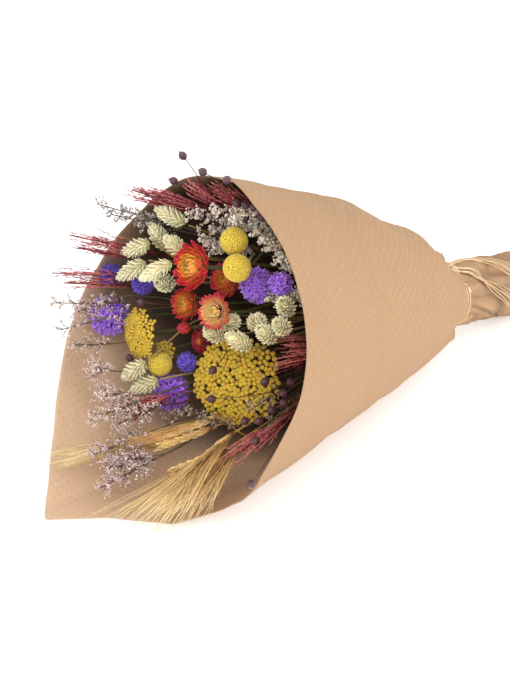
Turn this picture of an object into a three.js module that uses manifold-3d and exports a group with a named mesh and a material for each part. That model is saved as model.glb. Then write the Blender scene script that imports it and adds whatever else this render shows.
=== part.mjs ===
// Mixed dried flower bouquet lying on its side in a cone of embossed kraft paper.
// All sizes are in millimetres and degrees. The bunch is built standing on its cut ends, x towards the
// viewer, y up when it lies, z along the stems, and is laid down on the paper's rim at the very end.
import * as THREE from "three";
import Module from "manifold-3d";

const wasm = await Module();
wasm.setup();

// ---------------------------------------------------------------- driving dimensions
const TILT = 12.5; // slope of the stems when the paper's rim and the sleeve's end lie on the floor
const AXIS_HEIGHT = 26.5; // height of the bunch's axis above the floor at the cut ends
const CUT_END = 4;
const NECK = 158; // where the wrapper's narrow end closes on the sleeve
const FAN_START = 190; // the stems run parallel below this and fan out above it
const GAP = 0.35; // clear distance kept between separate pieces

const PAPER = { thickness: 0.9, slope: 0.265, neckRadius: 49, columns: 30 };
const PAPER_ROWS = [0, 0.06, 0.14, 0.25, 0.4, 0.58, 0.79, 1];
// Free edge of the wrapper: turn round the bunch (0 is up, 90 is the viewer's side) and height along it.
const RIM = [
  [0, 474], [20, 488], [45, 490], [70, 494], [85, 503], [100, 519], [112, 522], [125, 512],
  [138, 500], [150, 502], [165, 522], [180, 552], [192, 592], [205, 566], [222, 539],
  [240, 520], [260, 499], [280, 480], [300, 465], [325, 458], [345, 463], [360, 474],
];
// How far the upper side of the wrapper is puffed out beyond the plain cone, along the bunch.
const PUFF = [
  [158, 0], [186, 1], [204, 9], [229, 14], [267, 13], [283, 17], [312, 21], [347, 20],
  [373, 18], [424, 15], [475, 12], [600, 8],
];
const SLEEVE = { radius: 32, floorRadius: 31.6, thickness: 0.9, columns: 20 };
const SLEEVE_ROWS = [12, 55, 98, 138, 150, 188];
const SLEEVE_CREASES = [38, 140, 222, 306];
const TIE = { height: 146, strand: 1.6, turns: 2, pitch: 2.6 };
const CANARY_LENGTH = 31;
const FLAX_POD = 4;
const STEM = { coreRadius: 2.4, outerRadius: 3.2, clearance: 0.2 };

// Sight lines of the reference picture: a head is placed by where it is seen and its height in the bunch.
const VIEW = { azimuth: -43, elevation: 30, distance: 1215, mmPerPixel: 0.85, aimHeight: 470 };
const VIEW_AIM = { x: 205, y: 342 };
const VIEW_CENTRE = { x: 255, y: 350 };

const COLOURS = {
  kraft: [0xd2a878, 0.85], sleeve: [0xb98d62, 0.8], raffia: [0xd8bd8a, 0.75],
  stem: [0x8d8a55, 0.8], crimson: [0x9c2a22, 0.55], orange: [0xd9702c, 0.55],
  cream: [0xe8cf8a, 0.6], globe: [0xe6c83a, 0.8], yarrow: [0xd9ad28, 0.85],
  violet: [0x6a3fc0, 0.7], darkViolet: [0x47309a, 0.7], canary: [0xc3bd8a, 0.8],
  flax: [0x5d3a42, 0.5], straw: [0xd4ae62, 0.7], lilac: [0xb9a3a6, 0.85],
  whitish: [0xd9cdbb, 0.85], maroon: [0x7e3238, 0.75],
};

// ---------------------------------------------------------------- small helpers
const V = (x, y, z) => new THREE.Vector3(x, y, z);
const rad = (deg) => (deg * Math.PI) / 180;
const polar = (radius, phi, z) => V(radius * Math.sin(rad(phi)), radius * Math.cos(rad(phi)), z);
const turnOf = (p) => ((Math.atan2(p.x, p.y) * 180) / Math.PI + 360) % 360;
const mix = (a, b, t) => a.clone().lerp(b, t);
const smooth = (x, a, b) => THREE.MathUtils.smoothstep(x, a, b);

/** Straight-line interpolation in a table of [key, value] rows. */
function tableAt(table, key) {
  let i = 1;
  while (i < table.length - 1 && key > table[i][0]) i += 1;
  const [k0, v0] = table[i - 1];
  const [k1, v1] = table[i];
  const t = Math.min(Math.max((key - k0) / (k1 - k0), 0), 1);
  return v0 + (v1 - v0) * t;
}

/** Repeatable pseudo-random numbers from a seed. */
function randomFrom(seed) {
  let state = seed * 7919 + 17;
  return () => {
    state = (state * 16807) % 2147483647;
    return state / 2147483647;
  };
}

/** The point of the bunch seen at picture position (px, py), at height w along the stems. */
function seen(px, py, w) {
  const a = rad(VIEW.azimuth);
  const e = rad(VIEW.elevation);
  const t = rad(TILT);
  const right = V(-Math.sin(a), Math.cos(a) * Math.sin(t), -Math.cos(a) * Math.cos(t));
  const back = V(
    Math.cos(a) * Math.cos(e),
    Math.sin(a) * Math.cos(e) * Math.sin(t) + Math.sin(e) * Math.cos(t),
    -Math.sin(a) * Math.cos(e) * Math.cos(t) + Math.sin(e) * Math.sin(t),
  );
  const up = back.clone().cross(right);
  const focal = VIEW.distance / VIEW.mmPerPixel;
  const eye = V(0, 0, VIEW.aimHeight)
    .addScaledVector(right, -(VIEW_AIM.x - VIEW_CENTRE.x) * VIEW.mmPerPixel)
    .addScaledVector(up, (VIEW_AIM.y - VIEW_CENTRE.y) * VIEW.mmPerPixel)
    .addScaledVector(back, VIEW.distance);
  const ray = back.clone().negate()
    .addScaledVector(right, (px - VIEW_CENTRE.x) / focal)
    .addScaledVector(up, -(py - VIEW_CENTRE.y) / focal);
  return eye.addScaledVector(ray, (w - eye.z) / ray.z);
}

// ---------------------------------------------------------------- solids
/** Turns corner points and triangles into a joinable solid. */
function solid(points, triangles) {
  const vertProperties = new Float32Array(points.length * 3);
  points.forEach((p, i) => vertProperties.set([p.x, p.y, p.z], i * 3));
  return new wasm.Manifold(
    new wasm.Mesh({ numProp: 3, vertProperties, triVerts: new Uint32Array(triangles) }),
  );
}

/**
 * Solid drawn through stations {p, a, b}: rings with half-widths a and b round the point p; a station
 * with a = 0 is a point. `across` gives the direction of the half-width a.
 */
function loft(stations, sides, across = V(0, 0, 1)) {
  const points = [];
  const rings = [];
  stations.forEach((s, i) => {
    const before = stations[Math.max(i - 1, 0)].p;
    const after = stations[Math.min(i + 1, stations.length - 1)].p;
    const along = after.clone().sub(before).normalize();
    let u = across.clone().addScaledVector(along, -across.dot(along));
    if (u.length() < 0.05) u = V(1, 0, 0).addScaledVector(along, -along.x);
    u.normalize();
    const v = along.clone().cross(u);
    const ring = [];
    for (let k = 0; k < (s.a > 0 ? sides : 1); k += 1) {
      const angle = (2 * Math.PI * k) / sides;
      ring.push(points.length);
      points.push(
        s.p.clone()
          .addScaledVector(u, s.a * Math.cos(angle))
          .addScaledVector(v, (s.b ?? s.a) * Math.sin(angle)),
      );
    }
    rings.push(ring);
  });
  const faces = [];
  for (let i = 0; i + 1 < rings.length; i += 1) {
    const lower = rings[i];
    const upper = rings[i + 1];
    for (let k = 0; k < sides; k += 1) {
      const n = (k + 1) % sides;
      if (lower.length > 1) faces.push(lower[k], lower[n], upper[n % upper.length]);
      if (upper.length > 1) faces.push(lower[k % lower.length], upper[n], upper[k]);
    }
  }
  const first = rings[0];
  const last = rings[rings.length - 1];
  for (let k = 1; k + 1 < sides; k += 1) {
    if (first.length > 1) faces.push(first[0], first[k + 1], first[k]);
    if (last.length > 1) faces.push(last[0], last[k], last[k + 1]);
  }
  return solid(points, faces);
}

const join = (solids) => wasm.Manifold.union(solids);

/** The biggest body of a joined solid, without crumbs that do not hang on it. */
const largest = (body) => body.decompose().sort((a, b) => b.volume() - a.volume())[0];

/** A round stalk through points, with one radius for each point. */
const stalk = (path, radii, sides = 5) => loft(path.map((p, i) => ({ p, a: radii[i] })), sides);

/** A thin pointed blade from root to tip, `width` across `side`, arched by `arch` at the middle. */
function blade(root, tip, width, thickness, side, arch = V(0, 0, 0), widest = 0.55) {
  const middle = mix(root, tip, widest).add(arch);
  return loft(
    [{ p: root, a: 0 }, { p: middle, a: width / 2, b: thickness / 2 }, { p: tip, a: 0 }], 3, side,
  );
}

/** A named mesh of one colour from a solid. */
function meshOf(name, body, colour) {
  const data = body.getMesh();
  const geometry = new THREE.BufferGeometry()
    .setAttribute("position", new THREE.BufferAttribute(new Float32Array(data.vertProperties), 3))
    .setIndex(new THREE.BufferAttribute(new Uint32Array(data.triVerts), 1));
  const [color, roughness] = COLOURS[colour];
  const material = new THREE.MeshStandardMaterial({ color, roughness, metalness: 0 });
  const mesh = new THREE.Mesh(geometry, material);
  mesh.name = name;
  return mesh;
}

// ---------------------------------------------------------------- free space
const taken = []; // round-ended rods {a, b, r, node} already in the bunch

/** Shortest distance between the segments a-b and c-d. */
function segmentDistance(a, b, c, d) {
  const u = b.clone().sub(a);
  const v = d.clone().sub(c);
  const w = a.clone().sub(c);
  const uu = u.dot(u) + 1e-9;
  const vv = v.dot(v) + 1e-9;
  const uv = u.dot(v);
  const clamp = (x) => Math.min(Math.max(x, 0), 1);
  let s = clamp((uv * v.dot(w) - vv * u.dot(w)) / (uu * vv - uv * uv + 1e-9));
  const t = clamp((uv * s + v.dot(w)) / vv);
  s = clamp((uv * t - u.dot(w)) / uu);
  return w.addScaledVector(u, s).addScaledVector(v, -t).length();
}

/** Radius of the paper's outer side at turn phi and height w. */
function paperRadius(phi, w) {
  const cone = PAPER.neckRadius + (w - 162) * PAPER.slope;
  const puff = tableAt(PUFF, w) * (0.5 + 0.5 * Math.cos(rad(phi + 8))) ** 1.3;
  const pressed = 4 * smooth(w, 420, 530) * Math.max(0, Math.cos(rad(phi - 181))) ** 6;
  const gather = 1 - smooth(w, NECK, 225);
  const pleat = 11.8 * Math.max(0, Math.cos(rad((phi - 20) * 4))) ** 2 + 2.6;
  return cone + puff + pressed - gather * pleat;
}

const floorLine = (w) => -(AXIS_HEIGHT + w * Math.sin(rad(TILT))) / Math.cos(rad(TILT));

/** Whether a rod keeps clear of the paper, the floor and everything but `node` and its own `head`. */
function isFree(a, b, r, node, head = node) {
  const steps = Math.ceil(a.distanceTo(b) / 12) + 1;
  for (let i = 0; i <= steps; i += 1) {
    const p = mix(a, b, i / steps);
    const phi = turnOf(p);
    const rim = tableAt(RIM, phi);
    if (p.y < floorLine(p.z) + r + 0.8) return false;
    if (p.z - r < rim + 2) {
      const inner = paperRadius(phi, Math.min(p.z, rim)) - PAPER.thickness - 2.2;
      if (p.z > NECK + 20 && Math.hypot(p.x, p.y) + r > inner) return false;
    }
  }
  return taken.every((o) => o.node === node || o.node === head
    || segmentDistance(a, b, o.a, o.b) > r + o.r + GAP);
}

const take = (a, b, r, node) => taken.push({ a: a.clone(), b: b.clone(), r, node });

/** Path from a to b that keeps clear, bent sideways as little as needed; null if there is none. */
function route(a, b, r, node, reach = 44, head = node) {
  for (let bend = 0; bend <= reach; bend += 4) {
    for (let k = 0; k < (bend ? 10 : 1); k += 1) {
      for (const share of [0.55, 0.75, 0.35]) {
        const middle = mix(a, b, share).add(polar(bend, k * 36 + bend * 7, 0));
        if (isFree(a, middle, r, node) && isFree(middle, b, r, node, head)) return [a, middle, b];
      }
    }
  }
  return null;
}

// ---------------------------------------------------------------- paper, sleeve and tie
/** Closed skin between an outer and an inner grid of points that go round once. */
function wall(outer, inner) {
  const rows = outer.length;
  const columns = outer[0].length;
  const points = [...outer.flat(), ...inner.flat()];
  const at = (side, i, k) => side * rows * columns + i * columns + (k % columns);
  const faces = [];
  const quad = (a, b, c, d) => faces.push(a, b, c, a, c, d);
  for (let k = 0; k < columns; k += 1) {
    for (let i = 0; i + 1 < rows; i += 1) {
      quad(at(0, i, k), at(0, i, k + 1), at(0, i + 1, k + 1), at(0, i + 1, k));
      quad(at(1, i, k), at(1, i + 1, k), at(1, i + 1, k + 1), at(1, i, k + 1));
    }
    quad(at(0, rows - 1, k), at(0, rows - 1, k + 1), at(1, rows - 1, k + 1), at(1, rows - 1, k));
    quad(at(0, 0, k), at(1, 0, k), at(1, 0, k + 1), at(0, 0, k + 1));
  }
  return solid(points, faces);
}

/** Presses a point up onto the floor, `lift` above it. */
function onFloor(p, lift) {
  p.y = Math.max(p.y, floorLine(p.z) + lift);
  return p;
}

function kraftWrapper() {
  const grid = (inset) =>
    PAPER_ROWS.map((share) =>
      Array.from({ length: PAPER.columns }, (_, k) => {
        const phi = (-360 * k) / PAPER.columns + 360;
        const w = NECK + (tableAt(RIM, phi % 360) - NECK) * share;
        return onFloor(polar(paperRadius(phi, w) - inset, phi, w), inset);
      }));
  return wall(grid(0), grid(PAPER.thickness));
}

function sleeveRadius(phi, w) {
  const crease = SLEEVE_CREASES.reduce((most, c, i) => {
    const off = Math.abs(((phi - c - (w - 100) * 0.06 * (i % 2 ? 1 : -1) + 540) % 360) - 180);
    return Math.max(most, Math.exp(-((off / 15) ** 2)));
  }, 0);
  const depth = SLEEVE.radius - SLEEVE.thickness - GAP - bundleReach;
  const body = SLEEVE.radius - (SLEEVE.radius - SLEEVE.floorRadius) * (1 - smooth(w, 12, 110));
  return body - depth * crease * (0.35 + 0.65 * smooth(w, 40, 130));
}

function stemSleeve() {
  const grid = (inset) =>
    SLEEVE_ROWS.map((height, row) =>
      Array.from({ length: SLEEVE.columns }, (_, k) => {
        const phi = 360 - (360 * k) / SLEEVE.columns;
        const w = height + (row ? 0 : 2.5 * Math.sin(rad(3 * phi)));
        return onFloor(polar(sleeveRadius(phi, w) - inset, phi, w), inset);
      }));
  return wall(grid(0), grid(SLEEVE.thickness));
}

/** Raffia wound round the sleeve, with a knot on the viewer's side and two loose ends. */
function raffiaTie() {
  const out = TIE.strand / 2 + GAP;
  const strand = (phi, w) => polar(sleeveRadius(phi, w) + out, phi, w);
  const columns = SLEEVE.columns;
  const size = TIE.strand / 2;
  const pieces = [];
  for (let turn = 0; turn < TIE.turns; turn += 1) {
    const height = TIE.height - turn * TIE.pitch;
    const points = [];
    const faces = [];
    for (let i = 0; i < columns; i += 1) {
      const phi = 360 - (360 * i) / columns;
      const p = strand(phi, height);
      [[-size, size], [size, 0], [-size, -size]].forEach(([dr, dz]) => {
        points.push(p.clone().add(polar(dr, phi, dz)));
      });
      for (let c = 0; c < 3; c += 1) {
        const j = (i + 1) % columns;
        const d = (c + 1) % 3;
        faces.push(i * 3 + c, j * 3 + d, j * 3 + c, i * 3 + c, i * 3 + d, j * 3 + d);
      }
    }
    pieces.push(solid(points, faces));
  }
  const knotAt = 64;
  const knot = strand(knotAt, TIE.height - 1.4).add(polar(1.1, knotAt, 0));
  pieces.push(loft([
    { p: knot.clone().add(polar(0, 0, -4)), a: 1.2 }, { p: knot, a: 2.6, b: 1.9 },
    { p: knot.clone().add(polar(0, 0, 4)), a: 1.2 },
  ], 5, polar(1, knotAt + 90, 0)));
  for (const [phi, end, lift] of [[20, 66, 2.2], [88, 82, 2.4]]) {
    const path = [0, 0.33, 0.66, 1].map((t) => {
      const turn = knotAt + (phi - knotAt) * t;
      const w = TIE.height - 3 + (end - TIE.height + 3) * t;
      return polar(sleeveRadius(turn, w) + out + (t === 0 ? 0.6 : lift * (0.6 + 0.4 * t)), turn, w);
    });
    pieces.push(stalk(path, [0.9, 0.8, 0.8, 0.6], 3));
  }
  return join(pieces);
}

// ---------------------------------------------------------------- flower heads
/** Puts a solid built round the +z axis at `base`, pointing along `axis`. */
function plant(body, base, axis) {
  const q = new THREE.Quaternion().setFromUnitVectors(V(0, 0, 1), axis.clone().normalize());
  const m = new THREE.Matrix4().compose(base, q, V(1, 1, 1));
  return body.transform(Array.from(m.elements));
}

/** A row of pointed bracts rising at `slope` degrees from a circle of radius `from`. */
function bractRow(count, from, z, length, slope, width, shift) {
  return Array.from({ length: count }, (_, k) => {
    const phi = (360 * (k + shift)) / count;
    const root = polar(from - 1.2, phi, z);
    const tip = polar(from + length * Math.cos(rad(slope)), phi, z + length * Math.sin(rad(slope)));
    const arch = polar(length * 0.07, phi, -length * 0.06);
    return blade(root, tip, width, 1.1, polar(1, phi + 90, 0), arch, 0.6);
  });
}

/** Strawflower: crimson outer bracts, orange inner bracts and a beaded middle, as three solids. */
function strawflower(size, rows) {
  const core = (r0, r1, z0, z1) =>
    loft([{ p: V(0, 0, z0), a: r0 }, { p: V(0, 0, z1), a: r1 }], 10, V(1, 0, 0));
  const outer = [core(size * 0.16, size * 0.4, 0, size * 0.34)];
  rows.outer.forEach(([count, slope, share], i) => outer.push(
    ...bractRow(count, size * 0.34, size * (0.2 + 0.03 * i), size * share, slope, size * 0.34, i / 2),
  ));
  const innerFoot = size * 0.34 + GAP;
  const inner = [core(size * 0.3, size * 0.34, innerFoot, innerFoot + size * 0.2)];
  rows.inner.forEach(([count, slope, share], i) => inner.push(
    ...bractRow(count, size * 0.27, innerFoot + size * 0.1, size * share, slope, size * 0.25, i / 2),
  ));
  const discFoot = innerFoot + size * 0.2 + GAP;
  const disc = beadedDome(size * 0.25, size * 0.16, size * 0.13).translate(0, 0, discFoot);
  return { outer: join(outer), inner: join(inner), disc };
}

/** A dome covered with beads: every lattice point is a peak, every gap between three is a dip. */
function beadedDome(radius, height, pitch, dip = pitch * 0.28, foot = 0) {
  const inside = [];
  const index = new Map();
  const rows = Math.ceil(radius / (pitch * 0.866));
  const dome = (x, y) => height * (1 - (x * x + y * y) / (radius * radius)) ** 0.7;
  for (let j = -rows; j <= rows; j += 1) {
    for (let i = -rows * 2; i <= rows * 2; i += 1) {
      const x = (i + j / 2) * pitch;
      const y = j * pitch * 0.866;
      if (Math.hypot(x, y) <= radius * 0.97) {
        index.set(i + "," + j, inside.length);
        inside.push(V(x, y, dome(x, y) + 0.01));
      }
    }
  }
  const points = [...inside];
  const faces = [];
  const edges = new Map();
  const lattice = (a, b, c) => {
    if ([a, b, c].some((q) => q === undefined)) return;
    const middle = points.length;
    const m = mix(mix(points[a], points[b], 0.5), points[c], 1 / 3);
    m.z -= dip;
    points.push(m);
    for (const [p, q] of [[a, b], [b, c], [c, a]]) {
      faces.push(p, q, middle);
      edges.set(p + "," + q, [p, q]);
    }
  };
  for (const key of index.keys()) {
    const [i, j] = key.split(",").map(Number);
    const at = (di, dj) => index.get(i + di + "," + (j + dj));
    lattice(at(0, 0), at(1, 0), at(0, 1));
    lattice(at(1, 0), at(1, 1), at(0, 1));
  }
  const bottom = points.length;
  points.push(V(0, 0, -foot - 0.5));
  for (const [p, q] of edges.values()) {
    if (!edges.has(q + "," + p)) faces.push(q, p, bottom);
  }
  return solid(points, faces);
}

/** A globe of beads: each face of a geodesic ball is raised at its middle. */
function beadedGlobe(radius, detail) {
  const ball = new THREE.IcosahedronGeometry(1, detail).attributes.position;
  const points = [];
  const faces = [];
  const index = new Map();
  const corner = (i) => {
    const p = V(ball.getX(i), ball.getY(i), ball.getZ(i));
    const key = p.toArray().map((c) => Math.round(c * 1e4)).join();
    if (!index.has(key)) {
      index.set(key, points.length);
      points.push(p.multiplyScalar(radius * 0.93));
    }
    return index.get(key);
  };
  for (let i = 0; i < ball.count; i += 3) {
    const [a, b, c] = [corner(i), corner(i + 1), corner(i + 2)];
    const peak = points.length;
    points.push(points[a].clone().add(points[b]).add(points[c]).setLength(radius));
    faces.push(a, b, peak, b, c, peak, c, a, peak);
  }
  return solid(points, faces);
}

/** Statice: flared papery florets packed round a small core, filling a ball of the given radius. */
function staticeHead(radius, count, seed) {
  const random = randomFrom(seed);
  const centre = V(0, 0, radius);
  const pieces = [loft([
    { p: V(0, 0, 0), a: 0 }, { p: V(0, 0, radius * 0.7), a: radius * 0.5 },
    { p: V(0, 0, radius * 1.25), a: radius * 0.45 }, { p: V(0, 0, radius * 1.55), a: 0 },
  ], 6)];
  for (let k = 0; k < count; k += 1) {
    const height = 1 - (1.55 * (k + 0.5)) / count;
    const ring = Math.sqrt(1 - height * height);
    const out = polar(ring, k * 137.5, height);
    const length = radius * (0.88 + 0.1 * random());
    const mouth = centre.clone().addScaledVector(out, length);
    const root = centre.clone().addScaledVector(out, length * 0.2);
    pieces.push(loft([{ p: root, a: 0 }, { p: mouth, a: radius * 0.33 }], 4, V(random(), random(), 0.3)));
  }
  return join(pieces);
}

/** Canary grass head from its foot along its axis: a fat spindle of overlapping scale rows. */
function canaryStations(foot, axis) {
  const rows = [[0.02, 1.1], [0.15, 4.4], [0.38, 6.6], [0.48, 5.3], [0.66, 5.4], [1, 0]];
  return rows.map(([z, a]) => ({ p: foot.clone().addScaledVector(axis, CANARY_LENGTH * z), a }));
}

// ---------------------------------------------------------------- where everything goes
// Single heads: picture position, height in the bunch, size as the radius of the head, and lean towards the viewer.
const HEADS = [
  { name: "strawflower_1", kind: "strawflower", at: [194, 266, 480], size: 20.5, lean: 0.1 },
  { name: "strawflower_2", kind: "strawflower", at: [227, 279, 428], size: 17 },
  { name: "strawflower_3", kind: "strawflower", at: [186, 304, 455], size: 15.5 },
  { name: "strawflower_4", kind: "strawflower", at: [214, 312, 476], size: 16.5 },
  { name: "strawflower_bud", kind: "bud", at: [183, 328, 474], size: 8.5, branchOf: "strawflower_3" },
  { name: "strawflower_5", kind: "strawflower", at: [201, 341, 434], size: 12.5, branchOf: "strawflower_4" },
  { name: "craspedia_1", kind: "craspedia", at: [234, 241, 454], size: 12.3 },
  { name: "craspedia_2", kind: "craspedia", at: [237, 268, 463], size: 12.3 },
  { name: "craspedia_3", kind: "craspedia", at: [160, 364, 471], size: 11.3 },
  { name: "yarrow_1", kind: "yarrow", at: [237, 380, 433], size: 38, lean: 1.5 },
  { name: "yarrow_2", kind: "yarrow", at: [140, 334, 480], size: 22, lean: 0.1 },
  { name: "yarrow_3", kind: "yarrow", at: [165, 350, 458], size: 8, lean: 1.5, branchOf: "yarrow_2" },
  { name: "statice_1", kind: "statice", at: [257, 285, 436], size: 14 },
  { name: "statice_2", kind: "statice", at: [281, 284, 440], size: 9.5, branchOf: "statice_1" },
  { name: "statice_3", kind: "statice", at: [109, 316, 484], size: 17.5 },
  { name: "statice_4", kind: "statice", at: [143, 283, 465], size: 9.5, branchOf: "statice_3" },
  { name: "statice_5", kind: "statice", at: [111, 275, 478], size: 9.5, branchOf: "statice_3" },
  { name: "statice_6", kind: "statice", at: [171, 392, 457], size: 16.3 },
  { name: "statice_7", kind: "statice", at: [187, 362, 455], size: 7.5, branchOf: "statice_6" },
];
// Canary grass in bunches: each head from its foot to its tip in the picture, and its height.
const CANARY = [
  [[186, 224, 160, 211, 455], [168, 250, 153, 228, 453], [185, 255, 172, 243, 455]],
  [[150, 243, 115, 256, 472], [146, 262, 122, 276, 478], [172, 262, 150, 274, 470],
    [172, 283, 163, 283, 462]],
  [[225, 325, 240, 318, 442], [252, 325, 264, 318, 442], [222, 338, 212, 332, 450]],
  [[290, 312, 284, 304, 430], [287, 330, 280, 325, 436], [274, 340, 264, 332, 440]],
  [[250, 348, 236, 340, 450]],
  [[146, 362, 104, 392, 488], [158, 380, 120, 396, 482]],
];
// Sprays: picture position and height of every tip.
const FLAX = [
  [[183, 156, 484], [203, 172, 486], [227, 180, 487], [174, 181, 474]],
  [[254, 207, 452], [246, 205, 456], [237, 203, 458], [262, 217, 450], [246, 218, 446]],
  [[284, 393, 440], [284, 403, 446], [291, 382, 436], [272, 410, 450], [265, 382, 462]],
  [[245, 421, 470], [259, 421, 460], [256, 441, 484], [251, 484, 538]],
  [[130, 358, 492], [117, 300, 498], [142, 302, 486]],
  [[213, 370, 466], [212, 399, 470]],
];
const LAVENDER = [
  [[97, 204, 505], [110, 214, 498], [124, 210, 490], [140, 223, 480]],
  [[52, 303, 545], [60, 330, 545], [74, 345, 530], [76, 312, 520]],
  [[92, 368, 535], [100, 395, 535], [95, 418, 550], [118, 424, 530]],
  [[92, 455, 560], [108, 468, 556], [101, 488, 566], [126, 460, 540]],
  [[192, 215, 462], [214, 210, 460], [200, 238, 448], [212, 246, 440]],
  [[186, 412, 480], [201, 418, 474], [164, 422, 498], [250, 410, 466], [268, 424, 452]],
];
const CREAM = [
  [[256, 226, 438], [258, 236, 446], [268, 246, 442], [234, 214, 456], [246, 212, 452]],
  [[277, 258, 440], [290, 264, 434], [292, 296, 432], [272, 300, 436]],
];
const RED = [
  [[132, 190, 486], [152, 192, 482], [190, 186, 476], [214, 190, 466], [228, 196, 460]],
  [[52, 273, 540], [70, 235, 525], [64, 283, 535], [79, 248, 520], [92, 238, 508]],
  [[300, 352, 440], [291, 343, 438], [287, 364, 442], [262, 440, 462], [241, 450, 474]],
  [[122, 406, 510], [134, 414, 508], [146, 404, 500]],
];
// Barley bunches: ears from foot to tip in the picture with heights, then the reach of the awns.
const BARLEY = [
  {
    ears: [[218, 416, 156, 440], [206, 420, 144, 446], [212, 428, 160, 446]],
    earFoot: 455, earEnd: 500, awns: [58, 466], awnEnd: 570,
  },
  {
    ears: [[232, 434, 190, 470], [240, 446, 204, 482], [226, 450, 176, 470]],
    earFoot: 462, earEnd: 505, awns: [150, 528], awnEnd: 575,
  },
];

// ---------------------------------------------------------------- heads first, then their stems
const bouquet = new THREE.Group();
bouquet.name = "bouquet_as_bound";
const bunch = { heads: new THREE.Group(), sprays: new THREE.Group(), wrapping: new THREE.Group() };
Object.entries(bunch).forEach(([name, group]) => {
  group.name = name;
  bouquet.add(group);
});
const add = (group, name, body, colour) => group.add(meshOf(name, body, colour));

/** Direction in which a head at p leans: mostly along its stem, a little towards the viewer and up. */
function leanOf(p, share = 0.5) {
  const fan = p.clone().setZ(p.z - 60).normalize();
  return fan.add(V(0.45, 0.35, 0.3).multiplyScalar(share)).normalize();
}

const SPECIES = {
  strawflower(head, centre, axis) {
    const s = head.size;
    const foot = centre.clone().addScaledVector(axis, -s * 0.42);
    const parts = strawflower(s, {
      outer: [[9, 14, 0.66], [7, 38, 0.62]], inner: [[5, 58, 0.5], [3, 76, 0.42]],
    });
    add(bunch.heads, head.name + "_outer_bracts", plant(parts.outer, foot, axis), "crimson");
    add(bunch.heads, head.name + "_inner_bracts", plant(parts.inner, foot, axis), "orange");
    add(bunch.heads, head.name + "_disc", plant(parts.disc, foot, axis), "cream");
    take(foot.clone().addScaledVector(axis, s * 0.3), foot.clone().addScaledVector(axis, s * 0.5),
      s * 1.08, head.name);
    return foot;
  },
  bud(head, centre, axis) {
    const s = head.size;
    const foot = centre.clone().addScaledVector(axis, -s);
    const body = [loft([
      { p: V(0, 0, 0), a: 0 }, { p: V(0, 0, s * 0.7), a: s * 0.75 },
      { p: V(0, 0, s * 1.3), a: s * 0.62 }, { p: V(0, 0, s * 2.1), a: 0 },
    ], 6)];
    for (let i = 0; i < 8; i += 1) {
      const phi = i * 45;
      body.push(blade(polar(s * 0.45, phi, s * 0.5), polar(s * 0.7, phi, s * 1.9), s * 0.55, 1.2,
        polar(1, phi + 90, 0), polar(s * 0.28, phi, 0), 0.5));
    }
    add(bunch.heads, head.name, plant(join(body), foot, axis), "crimson");
    take(centre, centre, s * 1.05, head.name);
    return foot;
  },
  craspedia(head, centre, axis) {
    add(bunch.heads, head.name, plant(beadedGlobe(head.size, 1), centre, axis), "globe");
    take(centre, centre, head.size, head.name);
    return centre.clone().addScaledVector(axis, -head.size * 0.95);
  },
  yarrow(head, centre, axis) {
    const s = head.size;
    const height = s * 0.3;
    const pitch = Math.max(s * 0.215, Math.min(5, s * 0.43));
    const dome = beadedDome(s, height, pitch, pitch * 0.3, s * 0.3);
    add(bunch.heads, head.name, plant(dome, centre, axis), "yarrow");
    const q = new THREE.Quaternion().setFromUnitVectors(V(0, 0, 1), axis);
    for (let k = 0; k < 16; k += 1) {
      const out = polar(s * 0.84, k * 22.5, 0).applyQuaternion(q);
      const thick = s * 0.17;
      take(centre.clone(), centre.clone().add(out), thick, head.name);
    }
    take(centre, centre.clone().addScaledVector(axis, height * 0.4), s * 0.34, head.name);
    return centre.clone().addScaledVector(axis, -s * 0.3 - 0.5);
  },
  statice(head, centre, axis) {
    const s = head.size;
    const foot = centre.clone().addScaledVector(axis, -s);
    const body = staticeHead(s, s > 12 ? 14 : 8, Math.round(centre.x + 300));
    const dark = ["statice_4", "statice_5", "statice_7"].includes(head.name);
    add(bunch.heads, head.name, plant(body, foot, axis), dark ? "darkViolet" : "violet");
    take(centre, centre, s * 1.02, head.name);
    return foot;
  },
};

// Every stem: the node it belongs to, where it ends below its head, and its radius there.
const flowerStems = HEADS.map((head) => {
  const centre = seen(...head.at);
  const axis = leanOf(centre, head.lean);
  const foot = SPECIES[head.kind](head, centre, axis);
  const radius = head.size > 17 ? 1.8 : 1.4;
  return { head: head.name, branchOf: head.branchOf, end: foot.addScaledVector(axis, -GAP), axis, radius };
});

const grassBunches = CANARY.map((heads, n) => {
  const node = "canary_grass_" + (n + 1);
  const placed = heads.map(([x0, y0, x1, y1, w]) => {
    const foot = seen(x0, y0, w);
    const far = Math.abs(x1 - x0) > 22 ? 10 : 17;
    const axis = seen(x1, y1, w + far).sub(foot).normalize();
    take(foot.clone().addScaledVector(axis, 7), foot.clone().addScaledVector(axis, 21), 6.6, node);
    take(foot, foot.clone().addScaledVector(axis, CANARY_LENGTH), 2.5, node);
    return { foot, axis };
  });
  return { node, placed };
});

/** Packs discs round the origin: pulled inwards, pushed apart until none overlap. */
function packDiscs(starts, pitch, hole) {
  const spots = starts.map((p) => V(p.x, p.y, 0));
  for (let round = 0; round < 900; round += 1) {
    spots.forEach((p) => p.multiplyScalar(round < 820 ? 0.985 : 1));
    for (let pass = 0; pass < 3; pass += 1) {
      spots.forEach((p, i) => {
        if (p.length() < hole) p.setLength(hole);
        spots.slice(i + 1).forEach((q) => {
          const apart = q.clone().sub(p);
          const short = pitch - apart.length();
          if (short > 0) {
            apart.setLength(short / 2 + 0.001);
            p.sub(apart);
            q.add(apart);
          }
        });
      });
    }
  }
  return spots;
}

const coreSpots = packDiscs(
  flowerStems.filter((s) => !s.branchOf).map((s) => s.end.clone().multiplyScalar(18 / s.end.z)),
  STEM.coreRadius * 2 + STEM.clearance, 0,
);
const coreReach = Math.max(...coreSpots.map((p) => p.length())) + STEM.coreRadius;

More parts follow.
